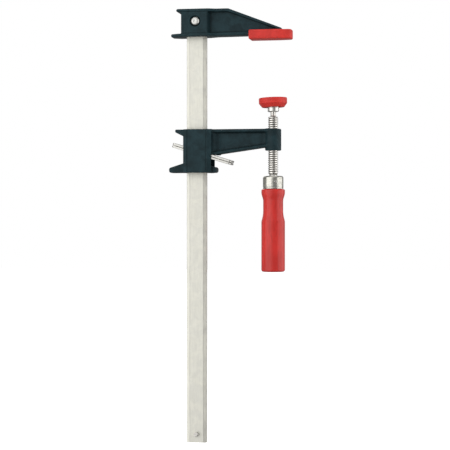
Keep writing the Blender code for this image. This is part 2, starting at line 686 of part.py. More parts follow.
def make_foot(foot):
    """The swivel foot: a cup closed round the ball, with a flange on top."""
    cavity_radius = BALL_RADIUS + GAP
    throat = -math.degrees(math.acos(CUP_THROAT_RADIUS / cavity_radius))
    corner = 0.9 * MM
    hollow = arc(0.0, 0.0, cavity_radius, throat, 90, 9)
    hollow[-1] = (0.0, cavity_radius)
    outside = [(CUP_MOUTH_RADIUS, CUP_BOTTOM), (CUP_RADIUS - corner, CUP_BOTTOM),
               (CUP_RADIUS, CUP_BOTTOM + corner), (CUP_RADIUS, FOOT_FLANGE_BOTTOM - corner),
               (CUP_RADIUS + corner, FOOT_FLANGE_BOTTOM), (FOOT_FLANGE_RADIUS, FOOT_FLANGE_BOTTOM),
               (FOOT_FLANGE_RADIUS, FOOT_FLANGE_TOP), (0.0, FOOT_FLANGE_TOP)]
    cup = solid("swivel_foot", turned(list(reversed(hollow)) + outside, segments=32), parent=foot,
                smooth=True)
    paint(cup, "foot_steel", STEEL)


def make_cap(foot):
    """The soft cap snapped over the foot's flange, with two notches in its skirt."""
    edge = 0.6 * MM
    wall = 0.4 * MM
    profile = [(0.0, CAP_TOP), (CAP_RADIUS - edge, CAP_TOP), (CAP_RADIUS, CAP_TOP - edge),
               (CAP_RADIUS, CAP_RIM_BOTTOM + edge), (CAP_RADIUS - edge, CAP_RIM_BOTTOM),
               (CAP_SKIRT_RADIUS, CAP_BOTTOM), (CAP_LIP_RADIUS, CAP_BOTTOM),
               (CAP_LIP_RADIUS, FOOT_FLANGE_BOTTOM - wall),
               (FOOT_FLANGE_RADIUS + wall, FOOT_FLANGE_BOTTOM - wall),
               (FOOT_FLANGE_RADIUS + wall, FOOT_FLANGE_TOP + GAP), (0.0, FOOT_FLANGE_TOP + GAP)]
    cap = solid("pad_cap", turned(profile, segments=40), parent=foot, smooth=True)
    notch = plan_prism(box_outline(-REACH, REACH, -CAP_NOTCH / 2, CAP_NOTCH / 2), CAP_BOTTOM - MM,
                       FOOT_FLANGE_BOTTOM - wall - 0.2 * MM)
    combine(cap, "cap_notches", notch)
    paint(cap, "cap_plastic", PLASTIC_RED)


def make_ferrule(ball):
    """The steel ferrule on the handle's end."""
    bore = TANG_RADIUS + GAP
    shoulder = arc(FERRULE_RADIUS - FERRULE_EDGE, FERRULE_TOP - FERRULE_EDGE, FERRULE_EDGE, 90, 0, 4)
    profile = [(bore, FERRULE_TOP)] + shoulder + [
        (FERRULE_RADIUS, FERRULE_BOTTOM), (FERRULE_BORE, FERRULE_BOTTOM),
        (FERRULE_BORE, FERRULE_TOP - FERRULE_ROOF), (bore, FERRULE_TOP - FERRULE_ROOF)]
    ferrule = solid("ferrule", turned(profile, segments=40, closed=True), parent=ball, smooth=True)
    combine(ferrule, "ferrule_pin_hole", pin_hole())
    paint(ferrule, "ferrule_steel", STEEL)


def make_ferrule_pin(ball):
    """The cross pin through ferrule, handle and screw."""
    pin = turned_across(rod(FERRULE_PIN_RADIUS, -FERRULE_PIN_HALF_LENGTH,
                            FERRULE_PIN_HALF_LENGTH), segments=16)
    paint(solid("ferrule_pin", turn_pin(pin), parent=ball, smooth=True), "pin_steel", STEEL)


def handle_profile():
    """Profile of the grip: tenon, bead, waist, straight barrel and rounded end."""
    tenon = FERRULE_BORE - GAP
    shoulder = FERRULE_BOTTOM - GAP
    swell = HANDLE_RADIUS - HANDLE_WAIST_RADIUS
    steps = 6
    bead = [(HANDLE_RADIUS - 0.6 * MM, shoulder), (HANDLE_RADIUS, shoulder - 2.6 * MM)]
    into_waist = []
    out_of_waist = []
    for step in range(1, steps + 1):
        share = (1 - math.cos(math.pi * step / steps)) / 2
        start = bead[-1][1]
        into_waist.append((HANDLE_RADIUS - swell * share,
                           start + (HANDLE_WAIST_TOP - start) * step / steps))
        out_of_waist.append((HANDLE_WAIST_RADIUS + swell * share,
                             HANDLE_WAIST_BOTTOM - HANDLE_WAIST_RUN * step / steps))
    end = arc(HANDLE_RADIUS - HANDLE_EDGE, HANDLE_BOTTOM + HANDLE_EDGE, HANDLE_EDGE, 0, -90, 4)
    return ([(0.0, FERRULE_TOP - FERRULE_ROOF - GAP), (tenon, FERRULE_TOP - FERRULE_ROOF - GAP),
             (tenon, shoulder)] + bead + into_waist + [(HANDLE_WAIST_RADIUS, HANDLE_WAIST_BOTTOM)]
            + out_of_waist + end + [(0.0, HANDLE_BOTTOM)])


def make_handle(ball):
    """The turned wooden grip, bored for the screw's tang."""
    grip = solid("handle", turned(handle_profile(), segments=36), parent=ball, smooth=True)
    tang_hole = turned(rod(TANG_RADIUS + GAP, TANG_END - GAP, 0.0), segments=24)
    combine(grip, "tang_hole", tang_hole)
    combine(grip, "handle_pin_hole", pin_hole())
    paint(grip, "handle_lacquer", LACQUER_RED)


def build_clamp():
    """Build every piece of the clamp."""
    clear_scene()
    carriage = empty("jaw_slide", (RAIL_X, 0.0, SLIDER_TOP_Z))
    fulcrum = empty("clutch_release", (FULCRUM_X, 0.0, -FULCRUM_DEPTH), CLUTCH_TILT, carriage)
    ball = empty("spindle_turn", (0.0, 0.0, BALL_Z))
    foot = empty("foot_tilt", (0.0, 0.0, 0.0), -FOOT_TILT, ball)
    make_rail()
    make_stop_pin()
    make_fixed_jaw()
    make_rivet()
    make_shoe()
    make_slider(carriage)
    make_clutch(fulcrum)
    make_spring(carriage)
    make_ball(ball)
    make_screw(ball)
    make_foot(foot)
    make_cap(foot)
    make_ferrule(ball)
    make_ferrule_pin(ball)
    make_handle(ball)


build_clamp()
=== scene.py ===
"""Looks of a clutch-style bar clamp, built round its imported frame.

The rail carries a riveted fixed jaw and a sliding jaw whose two tilted plates grip the rail.
A hand screw with a turned grip runs through the sliding jaw and ends in a swivel foot.
Shapes are worked out in millimetres and put into the row frame, in metres, at the end.
"""

import json  # noqa: E402
import logging  # noqa: E402
import math  # noqa: E402
from dataclasses import dataclass, field  # noqa: E402
from enum import Enum  # noqa: E402
from typing import Callable, Optional, Sequence, Union  # noqa: E402

import bmesh  # noqa: E402
import bpy  # noqa: E402
import numpy as np  # noqa: E402
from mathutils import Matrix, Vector  # noqa: E402


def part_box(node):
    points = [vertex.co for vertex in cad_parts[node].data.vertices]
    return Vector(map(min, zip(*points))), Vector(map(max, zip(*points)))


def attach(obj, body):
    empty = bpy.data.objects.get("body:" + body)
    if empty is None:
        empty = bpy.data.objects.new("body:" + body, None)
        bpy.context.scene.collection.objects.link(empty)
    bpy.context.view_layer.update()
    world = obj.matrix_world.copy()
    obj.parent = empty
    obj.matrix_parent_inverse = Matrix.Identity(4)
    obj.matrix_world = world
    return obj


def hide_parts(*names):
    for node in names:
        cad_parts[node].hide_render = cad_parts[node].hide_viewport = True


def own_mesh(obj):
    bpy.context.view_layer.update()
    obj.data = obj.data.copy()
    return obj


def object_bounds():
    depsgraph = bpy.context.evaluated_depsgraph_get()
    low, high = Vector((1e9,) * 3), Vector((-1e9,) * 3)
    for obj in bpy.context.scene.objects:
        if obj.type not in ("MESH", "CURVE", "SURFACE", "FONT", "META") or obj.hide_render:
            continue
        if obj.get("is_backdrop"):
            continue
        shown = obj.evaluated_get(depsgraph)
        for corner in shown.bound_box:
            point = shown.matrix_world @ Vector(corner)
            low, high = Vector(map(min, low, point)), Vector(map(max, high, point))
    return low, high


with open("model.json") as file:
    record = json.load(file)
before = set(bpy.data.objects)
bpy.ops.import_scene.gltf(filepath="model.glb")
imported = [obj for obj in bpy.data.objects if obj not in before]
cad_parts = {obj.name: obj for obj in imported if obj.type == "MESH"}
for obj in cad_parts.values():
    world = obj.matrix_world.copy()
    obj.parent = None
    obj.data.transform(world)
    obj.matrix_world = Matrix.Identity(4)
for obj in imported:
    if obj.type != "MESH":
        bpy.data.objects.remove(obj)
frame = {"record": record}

LOG = logging.getLogger("clamp")
MM = 0.001
MERGE_DISTANCE = 1e-7
TINY = 1e-12

# Driving dimensions that more than one piece shares, in millimetres and degrees.
THROAT = 73.025  # from the rail's axis to the screw's
BALL_Z = -63.8  # centre of the screw's ball
FULCRUM = (19.0, -25.0)  # where the plates rock, from the rail's axis and the jaw's top
CLUTCH_TILT = 17.0

Array = np.ndarray
Corner = tuple[float, float, float]
Distance = Callable[[Array, Array, Array], Array]
Socket = bpy.types.NodeSocket
Colour = tuple[float, float, float]
Number = Union[Socket, float]
Value = Union[Socket, float, tuple]


class Body(str, Enum):
    """Bodies of the frame that pieces ride on."""

    RAIL = "rail"
    SLIDER = "sliding_jaw"
    CLUTCH = "clutch"
    BALL = "ball"
    SPINDLE = "spindle"
    FOOT = "foot"


# --------------------------------------------------------------------------------------
# Outlines in a plane and distance functions
# --------------------------------------------------------------------------------------


def rounded(corners: Sequence[Corner], steps: int = 5) -> Array:
    """Round the corners of an outline with arcs.

    Each arc's centre lies on the corner's bisector at radius / sin(half angle), and its ends at
    radius / tan(half angle) along both sides. A radius of 0 keeps the corner sharp.

    Args:
        corners: (u, v, radius) of each corner, in order.
        steps: Number of chords in each arc.

    Returns:
        The outline's points as an (n, 2) array.
    """
    table = np.asarray(corners, float)
    place, radius = table[:, :2], table[:, 2:3]
    before = np.roll(place, 1, axis=0) - place
    after = np.roll(place, -1, axis=0) - place
    before /= np.linalg.norm(before, axis=1, keepdims=True)
    after /= np.linalg.norm(after, axis=1, keepdims=True)
    cosine = np.clip((before * after).sum(axis=1, keepdims=True), -0.999999, 0.999999)
    half = np.arccos(cosine) / 2
    bisector = before + after
    bisector /= np.linalg.norm(bisector, axis=1, keepdims=True)
    centre = place + bisector * radius / np.sin(half)
    setback = radius / np.tan(half)
    first = place + before * setback - centre
    last = place + after * setback - centre
    share = np.linspace(0.0, 1.0, steps + 1)[None, :, None]
    spoke = first[:, None, :] * (1 - share) + last[:, None, :] * share
    length = np.maximum(np.linalg.norm(spoke, axis=2, keepdims=True), TINY)
    arcs = centre[:, None, :] + spoke / length * radius[:, None, :]
    sharp = radius[:, :, None] < 1e-9
    points = np.where(sharp, place[:, None, :], arcs).reshape(-1, 2)
    moved = np.linalg.norm(points - np.roll(points, 1, axis=0), axis=1) > 1e-6
    return points[moved]


def rectangle(left: float, right: float, half: float, radius: float) -> list[Corner]:
    """Corners of a rectangle from left to right that reaches half to each side."""
    return mirrored([(left, -half, radius), (right, -half, radius)])


def mirrored(half: Sequence[Corner]) -> list[Corner]:
    """Close an outline given on its -v side by its mirror image."""
    return list(half) + [(u, -v, radius) for u, v, radius in reversed(half)]


def outline_distance(u: Array, v: Array, outline: Array) -> Array:
    """Signed distance to a closed outline, negative inside.

    The size is the smallest distance to any side. The sign comes from how many sides a ray to
    the left of the point crosses.

    Args:
        u: First coordinates, of any shape.
        v: Second coordinates, of a shape that broadcasts with u.
        outline: The outline's points as an (n, 2) array.

    Returns:
        The distances, in the shape that u and v broadcast to.
    """
    start = outline
    side = np.roll(outline, -1, axis=0) - outline
    du = u[..., None] - start[:, 0]
    dv = v[..., None] - start[:, 1]
    along = np.clip((du * side[:, 0] + dv * side[:, 1]) / (side**2).sum(axis=1), 0.0, 1.0)
    nearest = ((du - along * side[:, 0]) ** 2 + (dv - along * side[:, 1]) ** 2).min(axis=-1)
    level = v[..., None]
    spans = (start[:, 1] > level) != (start[:, 1] + side[:, 1] > level)
    rise = np.where(side[:, 1] == 0.0, 1.0, side[:, 1])
    crossed = (spans & (du < side[:, 0] * dv / rise)).sum(axis=-1) % 2 == 1
    return np.where(crossed, -1.0, 1.0) * np.sqrt(nearest)


def slab(value: Array, low: float, high: float) -> Array:
    """Signed distance to the layer between two parallel planes."""
    return np.abs(value - (low + high) / 2) - (high - low) / 2


def meet(first: Array, second: Array, radius: float) -> Array:
    """Intersection of two solids whose common edge is rounded: hypot(a + r, b + r) - r."""
    outer = np.hypot(np.maximum(first + radius, 0.0), np.maximum(second + radius, 0.0))
    return np.minimum(np.maximum(first, second), -radius) + outer


def join(first: Array, second: Array, radius: float) -> Array:
    """Union of two solids with a fillet between them: r - hypot(r - a, r - b)."""
    inner = np.hypot(np.maximum(radius - first, 0.0), np.maximum(radius - second, 0.0))
    return np.maximum(np.minimum(first, second), radius) - inner


def cut(solid: Array, tool: Array, radius: float) -> Array:
    """Take a tool out of a solid and round the edge that it leaves."""
    return meet(solid, -tool, radius)


def drafted(
    x: Array, z: Array, depth: Array, rim: float, web: float, mouth: Array, bottom: Array
) -> Array:
    """Distance to a hollow with sloping sides: mouth * (1 - share) + bottom * share.

    Args:
        x: Places along the arm.
        z: Heights.
        depth: Distances from the middle plane.
        rim: Depth of the hollow's mouth, where the share is 0.
        web: Depth of the web, where the share is 1.
        mouth: Side outline at the rim.
        bottom: Side outline at the web.

    Returns:
        The distances, without the hollow's floor.
    """
    share = np.clip((rim - depth) / (rim - web), 0.0, 1.0)
    hollow = outline_distance(x, z, mouth) * (1 - share)
    return hollow + outline_distance(x, z, bottom) * share


# --------------------------------------------------------------------------------------
# Meshes from arrays
# --------------------------------------------------------------------------------------


def placed(name: str, data: bpy.types.ID) -> bpy.types.Object:
    """Put data into a new object at the origin and link it to the scene.

    Args:
        name: Name of the object.
        data: Its mesh, light or camera.

    Returns:
        The new object.
    """
    item = bpy.data.objects.new(name, data)
    bpy.context.scene.collection.objects.link(item)
    return item


def store(mesh: bpy.types.Mesh, name: str, values: Array) -> None:
    """Write a number for each point into an attribute.

    Args:
        mesh: The mesh.
        name: Name of the attribute.
        values: One number for each point.
    """
    mesh.attributes.new(name, "FLOAT", "POINT")
    mesh.attributes[name].data.foreach_set("value", values.astype(np.float32))


def make_object(
    name: str, points: Array, faces: Array, sharp_degrees: float = 40.0, even: bool = True
) -> bpy.types.Object:
    """Put points and faces into a new object at the origin, merged, closed and facing outwards.

    Args:
        name: Name of the piece.
        points: (n, 3) points in metres.
        faces: (m, 3) or (m, 4) point numbers.
        sharp_degrees: Angle from which an edge is shaded sharp.
        even: Whether the large faces decide the shading next to small edge rounds.

    Returns:
        The new object.
    """
    mesh = bpy.data.meshes.new(name)
    mesh.from_pydata(np.asarray(points, float).tolist(), [], np.asarray(faces).tolist())
    shape = bmesh.new()
    shape.from_mesh(mesh)
    bmesh.ops.remove_doubles(shape, verts=shape.verts, dist=MERGE_DISTANCE)
    open_edges = [edge for edge in shape.edges if edge.is_boundary]
    if open_edges:
        caps = bmesh.ops.holes_fill(shape, edges=open_edges)["faces"]
        bmesh.ops.triangulate(shape, faces=caps)
    bmesh.ops.recalc_face_normals(shape, faces=shape.faces)
    if shape.calc_volume(signed=True) < 0.0:
        bmesh.ops.reverse_faces(shape, faces=shape.faces)
    shape.to_mesh(mesh)
    shape.free()
    mesh.shade_smooth()
    mesh.set_sharp_from_angle(angle=math.radians(sharp_degrees))
    item = placed(name, mesh)
    if even:
        shading = item.modifiers.new("even_shading", "WEIGHTED_NORMAL")
        shading.keep_sharp = True
    return item


def grid_faces(rows: int, columns: int, close_rows: bool = False, close_columns: bool = False) -> Array:
    """Quads of a grid of points numbered row by row.

    Face (i, j) joins points (i, j), (i, j + 1), (i + 1, j + 1) and (i + 1, j).

    Args:
        rows: Number of rows.
        columns: Number of points in each row.
        close_rows: Whether the last row joins the first.
        close_columns: Whether each row's last point joins its first.

    Returns:
        The quads as an (n, 4) array.
    """
    i = np.arange(rows if close_rows else rows - 1)[:, None]
    j = np.arange(columns if close_columns else columns - 1)[None, :]
    i, j = np.broadcast_arrays(i, j)
    i_next, j_next = (i + 1) % rows, (j + 1) % columns
    corners = (i * columns + j, i * columns + j_next, i_next * columns + j_next, i_next * columns + j)
    return np.stack(corners, axis=-1).reshape(-1, 4)


def turned(profile: Array, segments: int, closed: bool = False) -> tuple[Array, Array]:
    """Surface of revolution about Z: (r cos t, r sin t, h) for each profile point (r, h).

    Args:
        profile: (n, 2) radii and heights.
        segments: Number of columns round the axis.
        closed: Whether the profile's last point joins its first.

    Returns:
        Points and quads; points on the axis coincide and are merged with the piece.
    """
    angle = np.linspace(0.0, math.tau, segments, endpoint=False)
    radius, height = profile[:, :1], profile[:, 1:2]
    points = np.stack(
        np.broadcast_arrays(radius * np.cos(angle), radius * np.sin(angle), height), axis=-1
    )
    faces = grid_faces(len(profile), segments, close_rows=closed, close_columns=True)
    return points.reshape(-1, 3), faces


def turned_piece(
    name: str, profile: Array, segments: int, put: Callable[[Array], Array],
    sharp_degrees: float = 40.0, closed: bool = False, even: bool = True,
) -> bpy.types.Object:
    """Turn a profile about Z, put its points in their place and make the piece.

    Args:
        name: Name of the piece.
        profile: (n, 2) radii and heights in millimetres.
        segments: Number of columns round the axis.
        put: Carries points in millimetres to the row frame in metres.
        sharp_degrees: Angle from which an edge is shaded sharp.
        closed: Whether the profile's last point joins its first.
        even: Whether the large faces decide the shading next to small edge rounds.

    Returns:
        The new object.
    """
    points, faces = turned(profile, segments, closed)
    return make_object(name, put(points), faces, sharp_degrees, even)


def across(points: Array) -> Array:
    """Lay a shape turned about Z along Y: (x, y, z) becomes (x, z, -y)."""
    return np.stack([points[:, 0], points[:, 2], -points[:, 1]], axis=-1)


def tilted(points: Array, angle: float) -> Array:
    """Turn points about the Y axis, by the right-hand rule.

    Args:
        points: (n, 3) points.
        angle: The angle in radians.

    Returns:
        The turned points.
    """
    cosine, sine = math.cos(angle), math.sin(angle)
    turn = np.array([[cosine, 0.0, sine], [0.0, 1.0, 0.0], [-sine, 0.0, cosine]])
    return points @ turn.T


# --------------------------------------------------------------------------------------
# Cast and moulded shapes as the zero level of a distance function
# --------------------------------------------------------------------------------------

GRID_LEAD = 2.43  # steps before the shape; the odd share keeps flat faces off the grid's planes
GRID_TAIL = 3.0  # steps past the shape
SETTLE_ROUNDS = 2
SETTLE_REACH = 0.6  # longest move in one round, in steps
NUDGE = 0.02  # distance over which a slope is taken, in millimetres
LEAST_SLOPE = 0.25  # lower limit of the squared slope, so that a move stays short on a ridge


def axis_edges(field_values: Array, axis: int) -> tuple[Array, Array]:
    """Find where the surface crosses the grid's edges along one axis.

    Args:
        field_values: Distances on the grid.
        axis: Direction of the edges.

    Returns:
        Whether each edge is crossed, and the share f0 / (f0 - f1) along it.
    """
    first = np.moveaxis(field_values, axis, 0)[:-1]
    second = np.moveaxis(field_values, axis, 0)[1:]
    crossed = (first < 0) != (second < 0)
    gap = np.where(crossed, first - second, 1.0)
    share = np.where(crossed, first / gap, 0.0)
    return np.moveaxis(crossed, 0, axis), np.moveaxis(share, 0, axis)


def cell_points(cells: tuple[int, ...], edges: Sequence[tuple[Array, Array]]) -> tuple[Array, Array]:
    """Put a point at the mean of the edge crossings of every cell that the surface crosses.

    Args:
        cells: Number of cells along each axis.
        edges: Crossed edges and the shares along them, for each axis.

    Returns:
        The crossed cells, and their points in steps from the grid's lowest corner.
    """
    number = np.zeros(cells)
    place = np.zeros(cells + (3,))
    for axis, (crossed, share) in enumerate(edges):
        one, two = [other for other in range(3) if other != axis]
        for near in (0, 1):
            for far in (0, 1):
                window = [slice(0, count) for count in cells]
                window[one] = slice(near, near + cells[one])
                window[two] = slice(far, far + cells[two])
                hit = crossed[tuple(window)]
                number += hit
                place[..., axis] += share[tuple(window)]
                place[..., one] += near * hit
                place[..., two] += far * hit
    used = np.argwhere(number > 0)
    return used, used + place[tuple(used.T)] / number[tuple(used.T)][:, None]


def surface_net(values: Array, low: Array, step: float) -> tuple[Array, Array, Array]:
    """Mesh the zero level of a grid of distances.

    Every cell that the surface crosses gets one point. Every crossed edge gets one quad,
    through the four cells round it.

    Args:
        values: Distances on the grid, negative inside.
        low: The grid's lowest corner.
        step: The grid's spacing.

    Returns:
        Points, quads, and the cell of each point.
    """
    cells = tuple(count - 1 for count in values.shape)
    edges = [axis_edges(values, axis) for axis in range(3)]
    used, spots = cell_points(cells, edges)
    index = np.full(cells, -1)
    index[tuple(used.T)] = np.arange(len(used))
    quads = []
    for axis, (crossed, _) in enumerate(edges):
        one, two = (axis + 1) % 3, (axis + 2) % 3
        at = np.argwhere(crossed)
        at = at[(at[:, one] > 0) & (at[:, two] > 0)]
        at = at[(at[:, one] < cells[one]) & (at[:, two] < cells[two])]
        ring = []
        for back_one, back_two in ((1, 1), (0, 1), (0, 0), (1, 0)):
            cell = at.copy()
            cell[:, one] -= back_one
            cell[:, two] -= back_two
            ring.append(index[tuple(cell.T)])
        quad = np.stack(ring, axis=-1)
        outward = values[tuple(at.T)] < 0
        quads.append(np.where(outward[:, None], quad, quad[:, ::-1]))
    return low + spots * step, np.concatenate(quads), used


def settle(points: Array, distance: Distance, reach: float) -> Array:
    """Move points onto the zero level: p - f(p) * gradient / |gradient|^2, in a few rounds.

    Args:
        points: (n, 3) points near the surface.
        distance: The distance function.
        reach: The longest move in one round.

    Returns:
        The moved points.
    """
    for _ in range(SETTLE_ROUNDS):
        x, y, z = points.T
        value = distance(x, y, z)
        ahead = [distance(x + NUDGE, y, z), distance(x, y + NUDGE, z), distance(x, y, z + NUDGE)]
        slope = (np.stack(ahead, axis=-1) - value[:, None]) / NUDGE
        size = np.maximum((slope**2).sum(axis=1, keepdims=True), LEAST_SLOPE)
        move = -value[:, None] * slope / size
        length = np.maximum(np.linalg.norm(move, axis=1, keepdims=True), TINY)
        points = points + move * np.minimum(1.0, reach / length)
    return points


def moulded(
    name: str, distance: Distance, low: Sequence[float], high: Sequence[float], step: float,
    origin: Sequence[float],
) -> bpy.types.Object:
    """Make a piece from a distance function, with its edges' curvature in an attribute.

    The attribute "edge" is the Laplacian of the distance in 1/mm: above 0 on outer edges, below
    0 in hollows, and 0 on flats.

    Args:
        name: Name of the piece.
        distance: Distance function in millimetres, negative inside.
        low: Lowest corner of the space to search, in millimetres.
        high: Highest corner.
        step: Spacing of the search grid, in millimetres.
        origin: Where the function's origin lies in the row frame, in metres.

    Returns:
        The new object.
    """
    axes = [
        np.arange(start - GRID_LEAD * step, end + GRID_TAIL * step, step)
        for start, end in zip(low, high)
    ]
    values = distance(axes[0][:, None, None], axes[1][None, :, None], axes[2][None, None, :])
    corner = np.array([axis[0] for axis in axes])
    points, quads, cells = surface_net(values, corner, step)
    points = settle(points, distance, step * SETTLE_REACH)
    bend = sum(np.roll(values, 1, axis) + np.roll(values, -1, axis) for axis in range(3))
    bend = (bend - 6 * values) / step**2
    mesh = bpy.data.meshes.new(name)
    mesh.from_pydata((points * MM + origin).tolist(), [], quads.tolist())
    store(mesh, "edge", bend[tuple(cells.T)])
    mesh.shade_smooth()
    return placed(name, mesh)


# --------------------------------------------------------------------------------------
# Finishes
# --------------------------------------------------------------------------------------


class Board:
    """Lays shader nodes in one new material, from left to right."""

    def __init__(self, name: str) -> None:
        """Make the material with its shader and output.

        Args:
            name: Name of the material.
        """
        material = bpy.data.materials.new(name)
        material.use_nodes = True
        self.tree = material.node_tree
        self.tree.nodes.clear()
        output = self.tree.nodes.new("ShaderNodeOutputMaterial")
        self.shader = self.tree.nodes.new("ShaderNodeBsdfPrincipled")
        self.tree.links.new(self.shader.outputs["BSDF"], output.inputs["Surface"])

    def add(self, kind: str, inputs: Optional[dict] = None, **settings: object) -> bpy.types.Node:
        """Add a node.

        Args:
            kind: Blender's name of the node type.
            inputs: Socket names or numbers, each with a value or a socket to link from.
            settings: Properties of the node.

        Returns:
            The new node.
        """
        node = self.tree.nodes.new(kind)
        for key, value in settings.items():
            setattr(node, key, value)
        for key, value in (inputs or {}).items():
            self.feed(node.inputs[key], value)
        return node

    def feed(self, socket: Socket, value: Value) -> None:
        """Link a socket, or set its value."""
        if isinstance(value, bpy.types.NodeSocket):
            self.tree.links.new(value, socket)
        else:
            socket.default_value = value

    def dress(self, **values: Value) -> None:
        """Set the shader's inputs; a name's underscores stand for spaces."""
        for key, value in values.items():
            self.feed(self.shader.inputs[key.replace("_", " ")], value)

    def place(self, scale: Colour = (1.0, 1.0, 1.0), centre: Colour = (0.0, 0.0, 0.0)) -> Socket:
        """Object coordinates about a centre, stretched along the axes.

        Args:
            scale: Factor along each axis.
            centre: Point of the row frame that becomes the pattern's origin.

        Returns:
            The coordinates' socket.
        """
        source = self.add("ShaderNodeTexCoord").outputs["Object"]
        shifted = self.add(
            "ShaderNodeVectorMath", {0: source, 1: centre}, operation="SUBTRACT"
        ).outputs[0]
        return self.add("ShaderNodeVectorMath", {0: shifted, 1: scale}, operation="MULTIPLY").outputs[0]

    def noise(
        self, vector: Socket, size_mm: float, detail: float = 3.0, roughness: float = 0.55,
        distortion: float = 0.0,
    ) -> Socket:
        """Fractal noise whose largest lumps have the given size in millimetres."""
        return self.add(
            "ShaderNodeTexNoise",
            {"Vector": vector, "Scale": 1.0 / (size_mm * MM), "Detail": detail,
             "Roughness": roughness, "Distortion": distortion},
        ).outputs["Fac"]

    def remap(self, value: Socket, low: float, high: float, to_low: float, to_high: float) -> Socket:
        """Carry low..high to to_low..to_high, clamped and eased."""
        return self.add(
            "ShaderNodeMapRange",
            {"Value": value, "From Min": low, "From Max": high, "To Min": to_low, "To Max": to_high},
            interpolation_type="SMOOTHSTEP",
        ).outputs["Result"]

    def math(self, operation: str, first: Number, second: Number) -> Socket:
        """One step of arithmetic."""
        return self.add("ShaderNodeMath", {0: first, 1: second}, operation=operation).outputs[0]

    def blend(self, share: Number, first: Value, second: Value) -> Socket:
        """Mix two colours.

        Args:
            share: How much of the second.
            first: Colour at a share of 0.
            second: Colour at a share of 1.

        Returns:
            The mixed colour's socket.
        """
        four = [c if isinstance(c, bpy.types.NodeSocket) else (*c, 1.0) for c in (first, second)]
        return self.add(
            "ShaderNodeMix", {0: share, 6: four[0], 7: four[1]}, data_type="RGBA"
        ).outputs[2]

    def attribute(self, name: str) -> Socket:
        """A number stored on the piece's points."""
        return self.add("ShaderNodeAttribute", attribute_name=name).outputs["Fac"]

    def relief(self, *layers: tuple[Socket, float, float]) -> Socket:
        """Stack bump layers, each a height, its depth in millimetres and its strength.

        Args:
            layers: Height, depth in millimetres and strength of each layer.

        Returns:
            The last layer's normal.
        """
        normal = None
        for height, depth, strength in layers:
            inputs = {"Height": height, "Distance": depth * MM, "Strength": strength}
            if normal is not None:
                inputs["Normal"] = normal
            normal = self.add("ShaderNodeBump", inputs).outputs["Normal"]
        return normal


@dataclass(frozen=True)
class Finish:
    """What every finish has: a name, a colour and a roughness."""

    name: str
    colour: Colour
    roughness: float

    def material(self) -> bpy.types.Material:
        """Make the material once and hand it out again after that."""
        if self.name not in bpy.data.materials:
            self.paint(Board(self.name))
        return bpy.data.materials[self.name]

    def paint(self, board: Board) -> None:
        """Lay the nodes of this finish."""
        raise NotImplementedError

    def tone(self, factor: float) -> Colour:
        """The finish's colour, darker or lighter by a factor."""
        red, green, blue = self.colour
        return (red * factor, green * factor, blue * factor)


@dataclass(frozen=True)
class CastEnamel(Finish):
    """Thin dark enamel over a sand-cast surface: fine grit, soft lumps, paler outer edges partly from
    wear and partly painted highlight, and painted shade in the hollows.
    """

    grit_mm: float = 0.55
    lump_mm: float = 5.0

    def paint(self, board: Board) -> None:
        """Lay the nodes: grit and lumps in the relief, cloudy colour, paler outer edges from wear and
        painted highlight, and painted shade in the hollows.

        Args:
            board: The board of the new material.
        """
        place = board.place()
        grit = board.noise(place, self.grit_mm, 4.0, 0.6)
        lumps = board.noise(place, self.lump_mm, 2.0, 0.5)
        cloud = board.noise(place, 9.0, 4.0, 0.6, 0.4)
        body = board.blend(board.remap(cloud, 0.3, 0.7, 0.0, 1.0), self.tone(0.72), self.tone(1.3))
        speck = board.remap(grit, 0.58, 0.72, 0.0, 0.4)
        body = board.blend(speck, body, self.tone(2.1))
        # Paler outer edges: partly enamel worn thin, partly painted highlight standing in for the light
        # that the edges catch.
        edge = board.remap(board.attribute("edge"), 0.35, 1.3, 0.0, 1.0)
        rub = board.remap(board.noise(place, 2.2, 4.0, 0.65), 0.40, 0.62, 0.08, 0.6)
        edge_wear_and_highlight = board.math("MULTIPLY", edge, rub)
        body = board.blend(edge_wear_and_highlight, body, self.tone(1.5))
        # Painted shade: the concave hollows and fillets are darkened where shade falls.
        hollow = board.remap(board.attribute("edge"), -0.9, -0.15, 0.6, 0.0)
        body = board.blend(hollow, body, self.tone(0.3))
        rough = board.remap(grit, 0.3, 0.7, self.roughness - 0.07, self.roughness + 0.12)
        board.dress(
            Base_Color=body, Roughness=rough, Specular_IOR_Level=0.14,
            Normal=board.relief((lumps, 0.25, 0.5), (grit, 0.05, 0.7)),
        )


@dataclass(frozen=True)
class PlatedSteel(Finish):
    """Plated steel: long fine drawing lines, faint clouding and a few darker rubs."""

    lines: Colour = (1.0, 1.0, 0.02)
    line_mm: float = 0.35
    cloud_mm: float = 12.0
    depth: float = 0.012

    def paint(self, board: Board) -> None:
        """Lay the nodes: stretched noise for the lines, wide noise for the clouding.

        Args:
            board: The board of the new material.
        """
        lines = board.noise(board.place(self.lines), self.line_mm, 3.0, 0.6)
        cloud = board.noise(board.place(), self.cloud_mm, 5.0, 0.6, 0.6)
        fine = board.noise(board.place(), 0.4, 3.0, 0.6)
        tint = board.blend(board.remap(cloud, 0.32, 0.68, 0.0, 1.0), self.tone(0.9), self.tone(1.06))
        tint = board.blend(board.remap(lines, 0.35, 0.65, 0.0, 0.25), tint, self.tone(0.8))
        rough = board.math(
            "ADD",
            board.remap(cloud, 0.3, 0.7, self.roughness - 0.05, self.roughness + 0.06),
            board.remap(lines, 0.3, 0.7, -0.03, 0.05),
        )
        board.dress(
            Base_Color=tint, Metallic=1.0, Roughness=rough,
            Normal=board.relief((lines, self.depth, 0.5), (fine, 0.006, 0.4)),
        )


